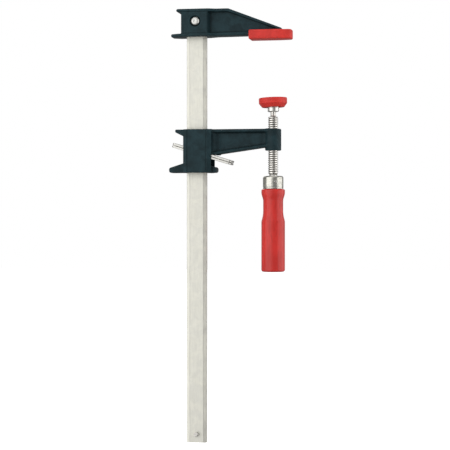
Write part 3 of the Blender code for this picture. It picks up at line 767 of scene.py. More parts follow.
@dataclass(frozen=True)
class RailPlating(PlatedSteel):
    """Plated bar: as plated steel, with painted shade lines along its creases and painted shade on its
    narrow sides.
    """

    middle: float = 0.0
    crease: float = 0.0
    side: float = 0.0

    def paint(self, board: Board) -> None:
        """Add painted shade bands over the distance from the bar's axis, |x - middle|, to the drawing
        lines.

        Args:
            board: The board of the new material.
        """
        super().paint(board)
        place = board.place((1.0 / MM,) * 3, (self.middle * MM, 0.0, 0.0))
        out = board.math("ABSOLUTE", board.add("ShaderNodeSeparateXYZ", {0: place}).outputs[0], 0.0)
        wander = board.remap(board.noise(board.place((1.0, 1.0, 0.2)), 3.0), 0.3, 0.7, -0.12, 0.12)
        gap = board.math("ABSOLUTE", board.math("SUBTRACT", board.math("ADD", out, wander),
                                                self.crease), 0.0)
        # Painted shade: a dark line along each crease between the flat face and its bevel.
        crease_shade = board.remap(gap, 0.1, 0.55, 0.34, 0.0)
        # Painted shade: the narrow sides are darkened as if turned away from the light.
        edge = board.remap(out, self.side - 0.35, self.side, 0.0, 0.3)
        tint = board.shader.inputs["Base Color"].links[0].from_socket
        tint = board.blend(crease_shade, tint, self.tone(0.42))
        board.dress(Base_Color=board.blend(edge, tint, self.tone(0.5)))


@dataclass(frozen=True)
class TurnedSteel(Finish):
    """Bright turned steel: rings round the axis, dull mottled patches and painted shade in the hollows.
    """

    along: Colour = (0.04, 0.04, 1.0)
    mottle_mm: float = 2.4
    mottle: float = 0.35
    depth: float = 0.02
    painted_root_shade: float = 0.0

    def paint(self, board: Board) -> None:
        """Lay the nodes: rings from noise squeezed along the axis, mottle from wide noise, and painted
        shade in the thread's roots.

        Args:
            board: The board of the new material.
        """
        rings = board.noise(board.place(self.along), 0.3, 2.0, 0.6)
        mottle = board.noise(board.place(), self.mottle_mm, 5.0, 0.65, 0.8)
        fine = board.noise(board.place(), 0.25, 3.0, 0.6)
        patch = board.remap(mottle, 0.46, 0.66, 0.0, self.mottle)
        tint = board.blend(patch, self.colour, self.tone(0.45))
        tint = board.blend(board.remap(rings, 0.4, 0.7, 0.0, 0.3), tint, self.tone(0.75))
        # Painted shade: the thread's roots are darkened by their depth, where shade falls between the
        # teeth.
        if self.painted_root_shade:
            hollow = board.remap(board.attribute("hollow"), 0.15, 0.95, 0.0, self.painted_root_shade)
            tint = board.blend(hollow, tint, self.tone(0.10))
        rough = board.math(
            "ADD",
            board.remap(mottle, 0.35, 0.7, self.roughness - 0.04, self.roughness + 0.14),
            board.remap(fine, 0.3, 0.7, -0.02, 0.04),
        )
        board.dress(
            Base_Color=tint, Metallic=1.0, Roughness=rough,
            Normal=board.relief((rings, self.depth, 0.5), (fine, 0.008, 0.4)),
        )


@dataclass(frozen=True)
class MouldedPlastic(Finish):
    """Soft moulded plastic: fine spark texture, flow clouds and slightly chalky rubs."""

    def paint(self, board: Board) -> None:
        """Lay the nodes: fine grain in the relief, clouds and specks in the colour.

        Args:
            board: The board of the new material.
        """
        place = board.place()
        grain = board.noise(place, 0.3, 3.0, 0.6)
        cloud = board.noise(place, 7.0, 4.0, 0.55, 0.5)
        body = board.blend(board.remap(cloud, 0.3, 0.7, 0.0, 1.0), self.tone(0.88), self.tone(1.08))
        pale = (self.colour[0] * 1.12, self.colour[1] * 1.9, self.colour[2] * 1.9)
        scuff = board.remap(board.noise(place, 1.3, 5.0, 0.7), 0.56, 0.74, 0.0, 0.35)
        body = board.blend(scuff, body, pale)
        rough = board.remap(grain, 0.3, 0.7, self.roughness - 0.05, self.roughness + 0.10)
        board.dress(
            Base_Color=body, Roughness=rough, Specular_IOR_Level=0.2,
            Subsurface_Weight=0.06, Subsurface_Scale=0.001,
            Normal=board.relief((cloud, 0.12, 0.4), (grain, 0.02, 0.5)),
        )


@dataclass(frozen=True)
class LacqueredWood(Finish):
    """Stained hardwood under clear lacquer: grain along the axis, pores and small dents."""

    coat: float = 0.38
    coat_roughness: float = 0.12

    def paint(self, board: Board) -> None:
        """Lay the nodes: stretched noise for grain and pores, wide noise for the stain.

        Args:
            board: The board of the new material.
        """
        grain = board.noise(board.place((1.0, 1.0, 0.09)), 1.6, 5.0, 0.62, 0.7)
        pores = board.noise(board.place((1.0, 1.0, 0.05)), 0.35, 2.0, 0.5)
        stain = board.noise(board.place((1.0, 1.0, 0.5)), 11.0, 3.0, 0.5, 0.3)
        dents = board.noise(board.place(), 3.2, 2.0, 0.5)
        body = board.blend(board.remap(stain, 0.3, 0.7, 0.0, 1.0), self.tone(0.86), self.tone(1.08))
        body = board.blend(board.remap(grain, 0.48, 0.68, 0.0, 0.45), body, self.tone(0.62))
        body = board.blend(board.remap(pores, 0.62, 0.74, 0.0, 0.4), body, self.tone(0.4))
        rough = board.remap(grain, 0.35, 0.7, self.roughness - 0.04, self.roughness + 0.10)
        board.dress(
            Base_Color=body, Roughness=rough, Specular_IOR_Level=0.15,
            Coat_Weight=self.coat, Coat_Roughness=self.coat_roughness,
            Normal=board.relief((grain, 0.03, 0.35), (pores, 0.012, 0.4), (dents, 0.05, 0.35)),
        )


@dataclass(frozen=True)
class PaleSweep(Finish):
    """Plain white studio floor that glows a little, with a faint paper tooth."""

    glow: float = 0.9

    def paint(self, board: Board) -> None:
        """Lay the nodes: paper tooth in the relief under an even glow.

        Args:
            board: The board of the new material.
        """
        tooth = board.noise(board.place(), 1.5, 2.0, 0.5)
        board.dress(
            Base_Color=(*self.colour, 1.0), Roughness=self.roughness, Specular_IOR_Level=0.0,
            Emission_Color=(1.0, 1.0, 1.0, 1.0), Emission_Strength=self.glow,
            Normal=board.relief((tooth, 0.01, 0.2)),
        )


# The enamel paints shade into its hollows and paints part of the highlight on its edges.
ENAMEL = CastEnamel("jaw_enamel_coat", (0.0136, 0.0326, 0.0388), 0.50)
# The rail's plating paints shade along its creases and on its narrow sides.
RAIL_PLATING = RailPlating("rail_plating", (0.84, 0.83, 0.757), 0.62, middle=-THROAT, crease=6.5,
                           side=9.4)
PLATE_ZINC = PlatedSteel("clutch_plate_zinc", (0.66, 0.65, 0.61), 0.36, lines=(0.05, 1.0, 1.0),
                         line_mm=0.4, cloud_mm=5.0)
SPRING_WIRE = PlatedSteel("spring_wire", (0.42, 0.41, 0.39), 0.34, lines=(1.0, 1.0, 1.0))
PIN_STEEL = TurnedSteel("stop_pin_steel_finish", (0.60, 0.585, 0.55), 0.30, along=(1.0, 1.0, 1.0),
                        mottle=0.3)
RIVET_STEEL = TurnedSteel("rivet_steel_finish", (0.56, 0.555, 0.53), 0.26, along=(1.0, 1.0, 1.0),
                          mottle=0.25)
SCREW_STEEL = TurnedSteel("screw_steel_finish", (0.62, 0.60, 0.56), 0.24, mottle=0.3,
                          mottle_mm=3.0)
# The thread's finish paints shade into its roots.
THREAD_STEEL = TurnedSteel("screw_thread_finish", (0.80, 0.78, 0.74), 0.26, mottle=0.3,
                           mottle_mm=3.0, painted_root_shade=0.55)
FERRULE_STEEL = TurnedSteel("ferrule_steel_finish", (0.58, 0.57, 0.515), 0.19, mottle=0.5)
FOOT_STEEL = TurnedSteel("foot_steel_finish", (0.72, 0.71, 0.68), 0.22, mottle=0.2)
CAP_PLASTIC = MouldedPlastic("cap_plastic_finish", (0.70, 0.046, 0.037), 0.44)
HANDLE_LACQUER = LacqueredWood("handle_lacquer_finish", (0.69, 0.037, 0.030), 0.34)
SWEEP = PaleSweep("studio_sweep", (0.95, 0.95, 0.95), 0.9)


# --------------------------------------------------------------------------------------
# Sub-assemblies
# --------------------------------------------------------------------------------------


def box_centre(node: str) -> tuple[Vector, Vector]:
    """Centre and size of a node's box, in millimetres."""
    low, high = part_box(node)
    return (low + high) / 2 / MM, (high - low) / MM


def pin_profile(radius: float, half: float, crown: float, steps: int) -> Array:
    """Profile of a pin from end to end, with rounded rims.

    Args:
        radius: The pin's radius.
        half: Half its length.
        crown: Radius of its rims.
        steps: Number of chords in each rim.

    Returns:
        (n, 2) radii and places along the axis.
    """
    corners = [(0.0, -half, 0.0), (radius, -half, crown), (radius, half, crown), (0.0, half, 0.0)]
    return rounded(corners, steps)


def rail_x() -> float:
    """Where the rail's axis lies along X, in millimetres."""
    return box_centre("bar")[0].x


@dataclass
class SubAssembly:
    """A group of pieces with the same job; it keeps what it has built."""

    pieces: list[bpy.types.Object] = field(default_factory=list, init=False)

    def fit(self, item: bpy.types.Object, finish: Finish, body: Body, slot: str, *nodes: str) -> None:
        """Dress a piece, set it on its body and let it stand for its nodes.

        Args:
            item: The finished piece.
            finish: Its finish.
            body: The body that it rides on.
            slot: The record's material slot; not used.
            nodes: The nodes that it replaces.
        """
        item.data.materials.clear()
        item.data.materials.append(finish.material())
        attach(item, body.value)
        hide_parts(*nodes)
        self.pieces.append(item)

    def cross_piece(self, name: str, node: str, profile: Array, segments: int) -> bpy.types.Object:
        """Turn a profile about Y, at the centre of a node's box.

        Args:
            name: Name of the piece.
            node: The node.
            profile: (n, 2) radii and places along Y.
            segments: Number of columns round the axis.

        Returns:
            The new object.
        """
        middle = np.array(box_centre(node)[0])
        return turned_piece(name, profile, segments, lambda points: (across(points) + middle) * MM)

    def build(self) -> None:
        """Build and dress every piece."""
        raise NotImplementedError

    def report(self) -> None:
        """Log each piece with its number of faces."""
        for item in self.pieces:
            LOG.info("%s: %s, %d faces", type(self).__name__, item.name, len(item.data.polygons))


@dataclass
class Rail(SubAssembly):
    """The flat bar with bevelled faces, and the pin through its lower end."""

    bevel_width: float = 3.0
    bevel_depth: float = 1.0
    side_round: float = 0.35
    crease_round: float = 0.6
    edge: float = 0.25
    pin_crown: float = 0.6

    def outline(self, grow: float = 0.0) -> Array:
        """The bar's section about its own axis, in millimetres, grown all round.

        Args:
            grow: How much larger the section is all round, in millimetres.

        Returns:
            The outline's points.
        """
        _, size = box_centre("bar")
        half_width, half_depth = size.x / 2 + grow, size.y / 2 + grow
        flat = size.x / 2 - self.bevel_width
        shoulder = half_depth - self.bevel_depth
        return rounded(mirrored([
            (-half_width, -shoulder, self.side_round), (-flat, -half_depth, self.crease_round),
            (flat, -half_depth, self.crease_round), (half_width, -shoulder, self.side_round),
        ]), 3)

    def build_bar(self) -> None:
        """Carry the section along Z; both ends shrink by a small chamfer."""
        centre, size = box_centre("bar")
        low, high = centre.z - size.z / 2, centre.z + size.z / 2
        section = self.outline()
        tuck = self.edge * 0.3
        inset = np.array([self.edge, tuck, 0.0, 0.0, 0.0, tuck, self.edge])
        level = np.array([low, low + tuck, low + self.edge, centre.z,
                          high - self.edge, high - tuck, high])
        shrink = 1.0 - inset[:, None, None] / np.array([size.x / 2, size.y / 2])
        rings = section[None, :, :] * shrink
        points = np.concatenate(
            [rings, np.broadcast_to(level[:, None, None], rings.shape[:2] + (1,))], axis=-1
        ) + np.array([centre.x, centre.y, 0.0])
        faces = grid_faces(len(level), len(section), close_columns=True)
        bar = make_object("rail_bar", points.reshape(-1, 3) * MM, faces, 25.0)
        self.fit(bar, RAIL_PLATING, Body.RAIL, "rail_steel", "bar")

    def build_pin(self) -> None:
        """Turn the stop pin about Y, with domed ends."""
        _, size = box_centre("end_stop_pin")
        profile = pin_profile(size.x / 2, size.y / 2, self.pin_crown, 6)
        pin = self.cross_piece("stop_pin", "end_stop_pin", profile, 40)
        self.fit(pin, PIN_STEEL, Body.RAIL, "stop_pin_steel", "end_stop_pin")

    def build(self) -> None:
        """Build the bar and its pin."""
        self.build_bar()
        self.build_pin()


@dataclass
class FixedJaw(SubAssembly):
    """The riveted jaw: a box round the rail's end, a webbed arm, a rivet and a soft shoe."""

    top: float = 29.5
    underside: float = 3.4
    box_left: float = -13.6
    box_right: float = 11.4
    box_half: float = 10.0
    rim_half: float = 10.6
    top_flange: float = 2.5
    bottom_flange: float = 2.8
    top_hook: float = -18.4
    bottom_hook: float = -24.4
    hook_half: float = 6.5
    knee: tuple[float, float] = (31.1, 29.5)
    tip: tuple[float, float] = (81.3, 10.3)
    tip_half: float = 6.2
    web_half: float = 3.8
    draft: float = 2.2
    sole_start: float = 53.0
    sole_end: float = 85.0
    sole_bottom: float = 2.1
    arm_underside: float = 4.0
    rivet_z: float = 17.8
    shank: float = 3.0
    head_radius: float = 3.9
    head_seat: float = 9.6
    recess: float = 5.1
    rail_gap: float = 0.12
    shoe_lip: float = 3.6
    shoe_play: float = 0.2
    shoe_past: float = 6.0
    shoe_step: float = 0.3
    nose_run: float = 13.0
    nose_inset: float = 2.4
    step: float = 0.42

    def side(self) -> Array:
        """Side outline, from the lower hook's tip round by the top.

        Returns:
            The outline's points.
        """
        low = self.underside + self.bottom_flange
        high = self.top - self.top_flange
        return rounded([
            (self.bottom_hook, self.underside, 1.1), (self.bottom_hook, low, 1.1),
            (self.box_left, low, 0.8), (self.box_left, high - 0.5, 2.0),
            (self.top_hook, high, 1.2), (self.top_hook, self.top, 1.2), (*self.knee, 4.0),
            (*self.tip, 2.0), (self.sole_end, self.sole_bottom + self.bottom_flange, 1.0),
            (self.sole_end, self.sole_bottom, 1.0), (self.sole_start, self.sole_bottom, 0.5),
            (self.sole_start, self.arm_underside, 0.5),
        ])

    def plan(self) -> Array:
        """Plan outline: hooks, the wide box, then an arm that narrows to the tip."""
        return rounded(mirrored([
            (self.bottom_hook, -self.hook_half, 3.0), (self.box_left - 3.0, -self.rim_half, 1.5),
            (self.box_right + 0.8, -self.rim_half, 2.0),
            (self.box_right + 8.0, -self.rim_half + 3.2, 3.0), (self.sole_end, -self.tip_half, 2.5),
        ]))

    def pocket(self, draft: float) -> Array:
        """Outline of the hollow beside the web; draft pulls its sides in towards the web.

        Args:
            draft: How far the hollow's sides are drawn in, in millimetres.

        Returns:
            The outline's points.
        """
        slope = (self.top - self.tip[1]) / (self.tip[0] - self.knee[0])
        high = self.top - self.top_flange - draft / 4
        low = self.underside + self.bottom_flange + draft / 4
        knee = self.knee[0] - draft / 8
        nose = knee + (high - low) / slope
        nose -= self.top_flange * (math.hypot(1.0, slope) - 1.0) / slope + draft / 4
        return rounded([
            (self.box_right + draft, low, 1.0), (self.box_right + draft, high, 1.0),
            (knee, high, 3.0), (nose, low + 1.2, 0.8),
        ])

    def casting(self) -> Distance:
        """Distance to the casting: side and plan outlines met, less pockets, faces and holes.

        Returns:
            The function, in millimetres about the rail's axis.
        """
        side, plan = self.side(), self.plan()
        outer, inner = self.pocket(0.0), self.pocket(self.draft)
        socket = Rail().outline(self.rail_gap)
        low, high = self.underside + self.bottom_flange, self.top - self.top_flange

        def distance(x: Array, y: Array, z: Array) -> Array:
            """Signed distance in millimetres.

            Args:
                x: Places from the rail's axis to the right.
                y: Places from the middle plane to the rear.
                z: Heights.

            Returns:
                Distances in millimetres, in the shape that the places broadcast to.
            """
            depth = np.abs(y)
            solid = meet(outline_distance(x, z, side), outline_distance(x, y, plan), 1.0)
            hollow = drafted(x, z, depth, self.rim_half, self.web_half, outer, inner)
            solid = cut(solid, meet(hollow, self.web_half - depth, 0.8), 0.6)
            panel = np.maximum(np.maximum(self.box_half - depth, x - self.box_right), slab(z, low, high))
            solid = cut(solid, panel, 0.35)
            ring = np.hypot(x, z - self.rivet_z)
            moat = meet(self.head_radius + 0.1 - ring, self.head_seat - 1.3 - depth, 0.25)
            seat = meet(ring - self.recess, np.minimum(self.head_seat - depth, moat), 0.2)
            solid = cut(solid, seat, 0.3)
            return cut(solid, outline_distance(x, y, socket), 0.35)

        return distance

    def build_casting(self) -> None:
        """Mesh the casting."""
        jaw = moulded(
            "fixed_jaw_casting", self.casting(), (self.bottom_hook, -self.rim_half, self.sole_bottom),
            (self.sole_end, self.rim_half, self.top), self.step, (rail_x() * MM, 0.0, 0.0),
        )
        self.fit(jaw, ENAMEL, Body.RAIL, "jaw_enamel", "fixed_jaw")

    def build_rivet(self) -> None:
        """Turn the rivet about Y: shank, seat, upset rim and a low dished dome on each side."""
        _, size = box_centre("jaw_rivet")
        radius, top = size.x / 2, size.y / 2
        seat = self.head_seat + 0.02
        half = [
            (0.0, top - 0.25, 0.0), (radius * 0.42, top, 0.6), (radius * 0.78, top - 0.1, 0.5),
            (radius, top - 0.9, 0.4), (radius, seat, 0.1), (self.shank, seat, 0.1),
        ]
        rivet = self.cross_piece("rivet_heads", "jaw_rivet", rounded(mirrored(half), 4), 48)
        self.fit(rivet, RIVET_STEEL, Body.RAIL, "rivet_steel", "jaw_rivet")

    def build_shoe(self) -> None:
        """Mould the shoe: a round-nosed pad with rounded edges, hollow above for the jaw's tip."""
        low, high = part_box("fixed_jaw_pad")
        middle, play = rail_x(), self.shoe_play
        start, end = low.x / MM - middle, high.x / MM - middle
        half, height = high.y / MM, high.z / MM
        plan = rounded(mirrored([
            (start, -half, 1.5), (end - self.nose_run, -half, 12.0),
            (end, -half + self.nose_inset, 4.2),
        ]), 8)
        outside, above = start - self.shoe_past, height + self.shoe_past
        left, right, bottom = self.sole_start - play, self.sole_end + play, self.sole_bottom - play
        hollow = np.array([
            (outside, self.shoe_lip), (left, self.shoe_lip), (left, bottom), (right, bottom),
            (right, above), (outside, above),
        ])
        inside = self.tip_half + 0.8

        def distance(x: Array, y: Array, z: Array) -> Array:
            """Signed distance in millimetres.

            Args:
                x: Places from the rail's axis to the right.
                y: Places from the middle plane to the rear.
                z: Heights.

            Returns:
                Distances in millimetres, in the shape that the places broadcast to.
            """
            solid = meet(outline_distance(x, y, plan), slab(z, 0.0, height), 1.1)
            room = np.maximum(outline_distance(x, z, hollow), np.abs(y) - inside)
            return cut(solid, room, 0.5)

        shoe = moulded("jaw_shoe", distance, (start, -half, 0.0), (end, half, height),
                       self.shoe_step, (middle * MM, 0.0, 0.0))
        self.fit(shoe, CAP_PLASTIC, Body.RAIL, "cap_plastic", "fixed_jaw_pad")

    def build(self) -> None:
        """Build the casting, its rivet and its shoe."""
        self.build_casting()
        self.build_rivet()
        self.build_shoe()


@dataclass
class SlidingJaw(SubAssembly):
    """The sliding casting and the flat-sided spring under the clutch plates."""

    height: float = 41.0
    left: float = -11.5
    right: float = 15.2
    shoulder: float = 10.6
    panel_half: float = 12.0
    panel_left: float = -8.0
    panel_right: float = 9.9
    grooves: tuple[tuple[float, float], ...] = ((-7.5, 12.05), (10.6, 11.95))
    collar: float = 9.6
    floor: float = 6.4
    room_half: float = 9.3
    room_right: float = 11.5
    arm_half: float = 6.8
    web_half: float = 3.2
    draft: float = 3.2
    top_flange: float = 2.6
    lower_flange: float = 2.3
    arm_root: tuple[float, float] = (20.4, -23.8)
    arm_end: tuple[float, float] = (60.9, -18.1)
    root_fillet: float = 7.35
    boss_x: float = THROAT
    boss_radius: float = 7.6
    boss_height: float = 20.4
    bore: float = 5.1
    hook_half: float = 7.0
    hook_inset: float = 3.0
    top_hook: float = -20.0
    top_hook_root: float = 6.8
    low_hook: float = -25.9
    low_hook_root: float = 9.2
    right_hook: float = 19.6
    post_foot: float = 0.5
    window_round: float = 0.4
    window_end: float = 60.0
    way_gap: float = 0.18
    spring_radius: float = 0.6
    spring_turns: float = 3.0
    spring_steps: int = 72
    spring_sides: int = 12
    spring_bend: float = 2.5
    spring_keep: float = 0.66
    step: float = 0.44

    def fall(self) -> float:
        """Slope of the arm's underside."""
        return (self.arm_end[1] - self.arm_root[1]) / (self.arm_end[0] - self.arm_root[0])

    def underside(self, x: float) -> float:
        """Height of the arm's underside at a place along the arm."""
        return self.arm_root[1] + self.fall() * (x - self.arm_root[0])

    def arm(self) -> Array:
        """Side outline of the arm between sleeve and boss."""
        left = self.room_right
        return np.array([
            (left, 0.0), (self.boss_x, 0.0), (self.boss_x, self.underside(self.boss_x)),
            (left, self.underside(left)),
        ])

    def pocket(self, draft: float) -> Array:
        """Outline of the hollow beside the arm's web.

        Args:
            draft: How far the hollow's sides are drawn in, in millimetres.

        Returns:
            The outline's points.
        """
        left = self.right + draft / 4
        low = self.lower_flange + draft / 4
        top = -self.top_flange - draft / 4
        return rounded([
            (left, self.underside(left) + low, 0.8), (left, top, 0.8), (self.boss_x, top, 0.8),
            (self.boss_x, self.underside(self.boss_x) + low, 0.8),
        ])

    def sleeve_plan(self) -> Array:
        """Plan outline of the sleeve: a raised panel between sloped shoulders on each face."""
        return rounded(mirrored([
            (self.left, -self.shoulder, 0.8), (self.panel_left, -self.panel_half, 0.5),
            (self.panel_right, -self.panel_half, 0.5), (self.right, -self.shoulder, 0.2),
        ]), 3)

    def root_plan(self) -> Array:
        """Plan outline of the arm's root, which runs into the web along hollow fillets.

        Returns:
            The outline's points.
        """
        angle = np.radians(np.linspace(180.0, 90.0, 9))
        centre = np.array([self.right + self.root_fillet, -(self.web_half + self.root_fillet)])
        curve = centre + self.root_fillet * np.stack([np.cos(angle), np.sin(angle)], axis=-1)
        near = np.array([[self.room_right, curve[0, 1]]])
        half = np.concatenate([near, curve])
        return np.concatenate([half, half[::-1] * (1.0, -1.0)])

    def hooks(self) -> list[Array]:
        """Side outlines of the three lugs on the sleeve's corners.

        Returns:
            One outline for each lug.
        """
        inside, outside = self.left + self.hook_inset, self.right - self.hook_inset
        high, bottom = -self.top_hook_root, -self.height
        low = bottom + self.low_hook_root
        top_left = [(self.top_hook, 0.0, 1.0), (inside, 0.0, 0.5), (inside, high, 0.5),
                    (self.left, high, 0.5), (self.top_hook, -2.6, 1.2)]
        low_left = [(self.low_hook, bottom, 1.8), (self.low_hook, bottom + 4.6, 1.8),
                    (self.left, low, 0.5), (inside, low, 0.5), (inside, bottom, 0.5)]
        low_right = [(outside, bottom, 0.5), (self.right_hook, bottom, 2.0),
                     (self.right_hook, bottom + 5.2, 2.2), (outside, bottom + self.floor, 0.5)]
        return [rounded(outline, 4) for outline in (top_left, low_left, low_right)]

    def window(self) -> Array:
        """Side outline of the window for the plates, with the fulcrum edge at its right.

        Returns:
            The outline's points.
        """
        floor, far = self.floor - self.height, self.window_end
        left = self.left - self.window_round
        edge = FULCRUM[1] + self.post_foot
        slope = math.tan(math.radians(CLUTCH_TILT))
        inner = edge + (FULCRUM[0] - self.room_right) * slope
        return np.array([
            (left, floor), (left, -self.collar), (self.room_right, -self.collar),
            (self.room_right, inner), (FULCRUM[0], edge), (FULCRUM[0] + 2.4, edge - 0.4),
            (far, edge - 0.4), (far, floor),
        ])

    def casting(self) -> Distance:
        """Distance to the casting: arm, sleeve, root, boss and lugs joined, then the cut-outs.

        Returns:
            The function, in millimetres about the rail's axis and the jaw's top.
        """
        arm, outer, inner = self.arm(), self.pocket(0.0), self.pocket(self.draft)
        sleeve, root, hooks = self.sleeve_plan(), self.root_plan(), self.hooks()
        window, way = self.window(), Rail().outline(self.way_gap)

        def distance(x: Array, y: Array, z: Array) -> Array:
            """Signed distance in millimetres.

            Args:
                x: Places from the rail's axis to the right.
                y: Places from the middle plane to the rear.
                z: Heights.

            Returns:
                Distances in millimetres, in the shape that the places broadcast to.
            """
            depth = np.abs(y)
            solid = meet(outline_distance(x, z, arm), depth - self.arm_half, 1.0)
            hollow = drafted(x, z, depth, self.arm_half, self.web_half, outer, inner)
            solid = cut(solid, meet(hollow, self.web_half - depth, 1.2), 0.7)
            post = slab(z, FULCRUM[1] + self.post_foot, -1.3)
            post = meet(outline_distance(x, y, root), post, 0.6)
            solid = join(solid, post, 1.0)
            boss = meet(np.hypot(x - self.boss_x, y) - self.boss_radius,
                        slab(z, -self.boss_height, 0.0), 0.9)
            solid = join(solid, boss, 1.4)
            block = meet(outline_distance(x, y, sleeve), slab(z, -self.height, 0.0), 0.9)
            solid = join(solid, block, 1.2)
            for hook in hooks:
                lug = meet(outline_distance(x, z, hook), depth - self.hook_half, 0.9)
                solid = join(solid, lug, 0.8)
            for along, out in self.grooves:
                solid = cut(solid, np.hypot(x - along, depth - out) - 0.55, 0.1)
            room = meet(outline_distance(x, z, window), depth - self.room_half, 0.5)
            solid = cut(solid, room, 0.5)
            solid = cut(solid, outline_distance(x, y, way), 0.4)
            return cut(solid, np.hypot(x - self.boss_x, y) - self.bore, 0.5)

        return distance

    def build_casting(self) -> None:
        """Mesh the casting."""
        low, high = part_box("sliding_jaw")
        middle = rail_x()
        origin = np.array((middle, 0.0, high.z / MM))
        start, end = np.array(low) / MM - origin, np.array(high) / MM - origin
        jaw = moulded("sliding_jaw_casting", self.casting(), start, end, self.step,
                      (middle * MM, 0.0, high.z))
        self.fit(jaw, ENAMEL, Body.SLIDER, "jaw_enamel", "sliding_jaw")

    def build_spring(self) -> None:
        """Carry a round wire along a rising rounded rectangle, between floor and plates.

        The path is (outline(t), z(t)) with z going from the floor to the plates' tilted
        underside; each ring lies in the plane of the path's outward and upward directions.
        """
        low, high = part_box("clutch_spring")
        centre = (low + high) / 2 / MM
        half_x, half_y = (high.x - low.x) / 2 / MM, (high.y - low.y) / 2 / MM
        wire = self.spring_radius
        a, b = half_x - wire, half_y - wire
        loop = rounded(rectangle(-a, a, b, self.spring_bend), 8)
        closed = np.concatenate([loop, loop[:1]])
        travelled = np.concatenate([[0.0], np.cumsum(np.linalg.norm(np.diff(closed, axis=0), axis=1))])
        count = int(self.spring_steps * self.spring_turns)
        turn = np.linspace(0.0, self.spring_turns, count + 1)
        along = (turn % 1.0) * travelled[-1]
        x = np.interp(along, travelled, closed[:, 0])
        y = np.interp(along, travelled, closed[:, 1])
        slope = math.tan(math.radians(CLUTCH_TILT))
        floor = low.z / MM + wire
        crest = high.z / MM - wire - (x + a) * slope
        share = turn / self.spring_turns
        z = floor + (crest - floor) * share
        path = np.stack([x, y, z], axis=-1)
        ahead = np.gradient(path, axis=0)
        ahead /= np.linalg.norm(ahead, axis=1, keepdims=True)
        side = np.cross(ahead, (0.0, 0.0, 1.0))
        side /= np.linalg.norm(side, axis=1, keepdims=True)
        lift = np.cross(side, ahead)
        angle = np.linspace(0.0, math.tau, self.spring_sides, endpoint=False)[None, :, None]
        ends = np.ones(count + 1)
        ends[[0, -1]] = 0.75
        rings = path[:, None, :] + wire * ends[:, None, None] * (
            np.cos(angle) * side[:, None, :] + np.sin(angle) * lift[:, None, :]
        )
        points = (rings.reshape(-1, 3) + (centre.x, centre.y, 0.0)) * MM
        faces = grid_faces(count + 1, self.spring_sides, close_columns=True)
        spring = make_object("clutch_spring_wire", points, faces, 60.0, even=False)
        self.fit(spring, SPRING_WIRE, Body.SLIDER, "spring_steel", "clutch_spring")
        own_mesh(spring)

    def build(self) -> None:
        """Build the casting and the spring."""
        self.build_casting()
        self.build_spring()


@dataclass
class Clutch(SubAssembly):
    """The two slotted plates that tilt on the fulcrum and grip the rail."""

    thickness: float = 2.0
    gap: float = 0.3
    length: float = 59.1
    half_depth: float = 8.9
    overhang: float = 16.5
    corner: float = 2.4
    slot_half: tuple[float, float] = (10.7, 3.675)
    slot_edge: float = 0.2
    edge: float = 0.5

    def plate(self, name: str, top: float, node: str) -> None:
        """Build one plate: outer and slot outlines joined by a section with rounded outer edges.

        Both outlines have the same corners in the same order, so point i of one faces point i
        of the other. The section runs slot bottom, outer bottom, rounded rim, outer top, slot top.

        Args:
            name: Name of the piece.
            top: Height of the plate's top in the plates' own frame.
            node: The node that it replaces.
        """
        steep = math.radians(CLUTCH_TILT)
        middle, bottom = top - self.thickness / 2, top - self.thickness
        right, left = self.overhang, self.overhang - self.length
        hub = -(FULCRUM[0] + middle * math.sin(steep)) / math.cos(steep)
        along, across_slot = self.slot_half

        def slot(grow: float, radius: float) -> Array:
            """Outline of the slot, grown all round."""
            ends = hub - along - grow, hub + along + grow
            return rounded(rectangle(*ends, across_slot + grow, radius), 6)

        angle = np.radians(np.linspace(-90.0, 90.0, 7))
        pull = self.edge * (1 - np.cos(angle))
        rim = middle + (self.thickness / 2 - self.edge) * np.sign(angle) + self.edge * np.sin(angle)
        inner, mouth = slot(0.0, 0.8), slot(self.slot_edge, 1.0)
        rows = [(mouth, bottom)]
        for inset, height in zip(pull, rim):
            radius = self.corner - inset * 0.8
            edge = rectangle(left + inset, right - inset, self.half_depth - inset, radius)
            rows.append((rounded(edge, 6), height))
        rows += [(mouth, top), (inner, top - self.slot_edge), (inner, bottom + self.slot_edge)]
        points = np.concatenate([
            np.column_stack([ring, np.full(len(ring), height)]) for ring, height in rows
        ])
        faces = grid_faces(len(rows), len(inner), close_rows=True, close_columns=True)
        slider_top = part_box("sliding_jaw")[1].z / MM
        pivot = np.array([rail_x() + FULCRUM[0], 0.0, slider_top + FULCRUM[1]])
        plate = make_object(name, (tilted(points, steep) + pivot) * MM, faces, 35.0)
        self.fit(plate, PLATE_ZINC, Body.CLUTCH, "plate_zinc", node)

    def build(self) -> None:
        """Build both plates."""
        self.plate("upper_clutch_plate", 0.0, "clutch_plate_upper")
        self.plate("lower_clutch_plate", -self.thickness - self.gap, "clutch_plate_lower")


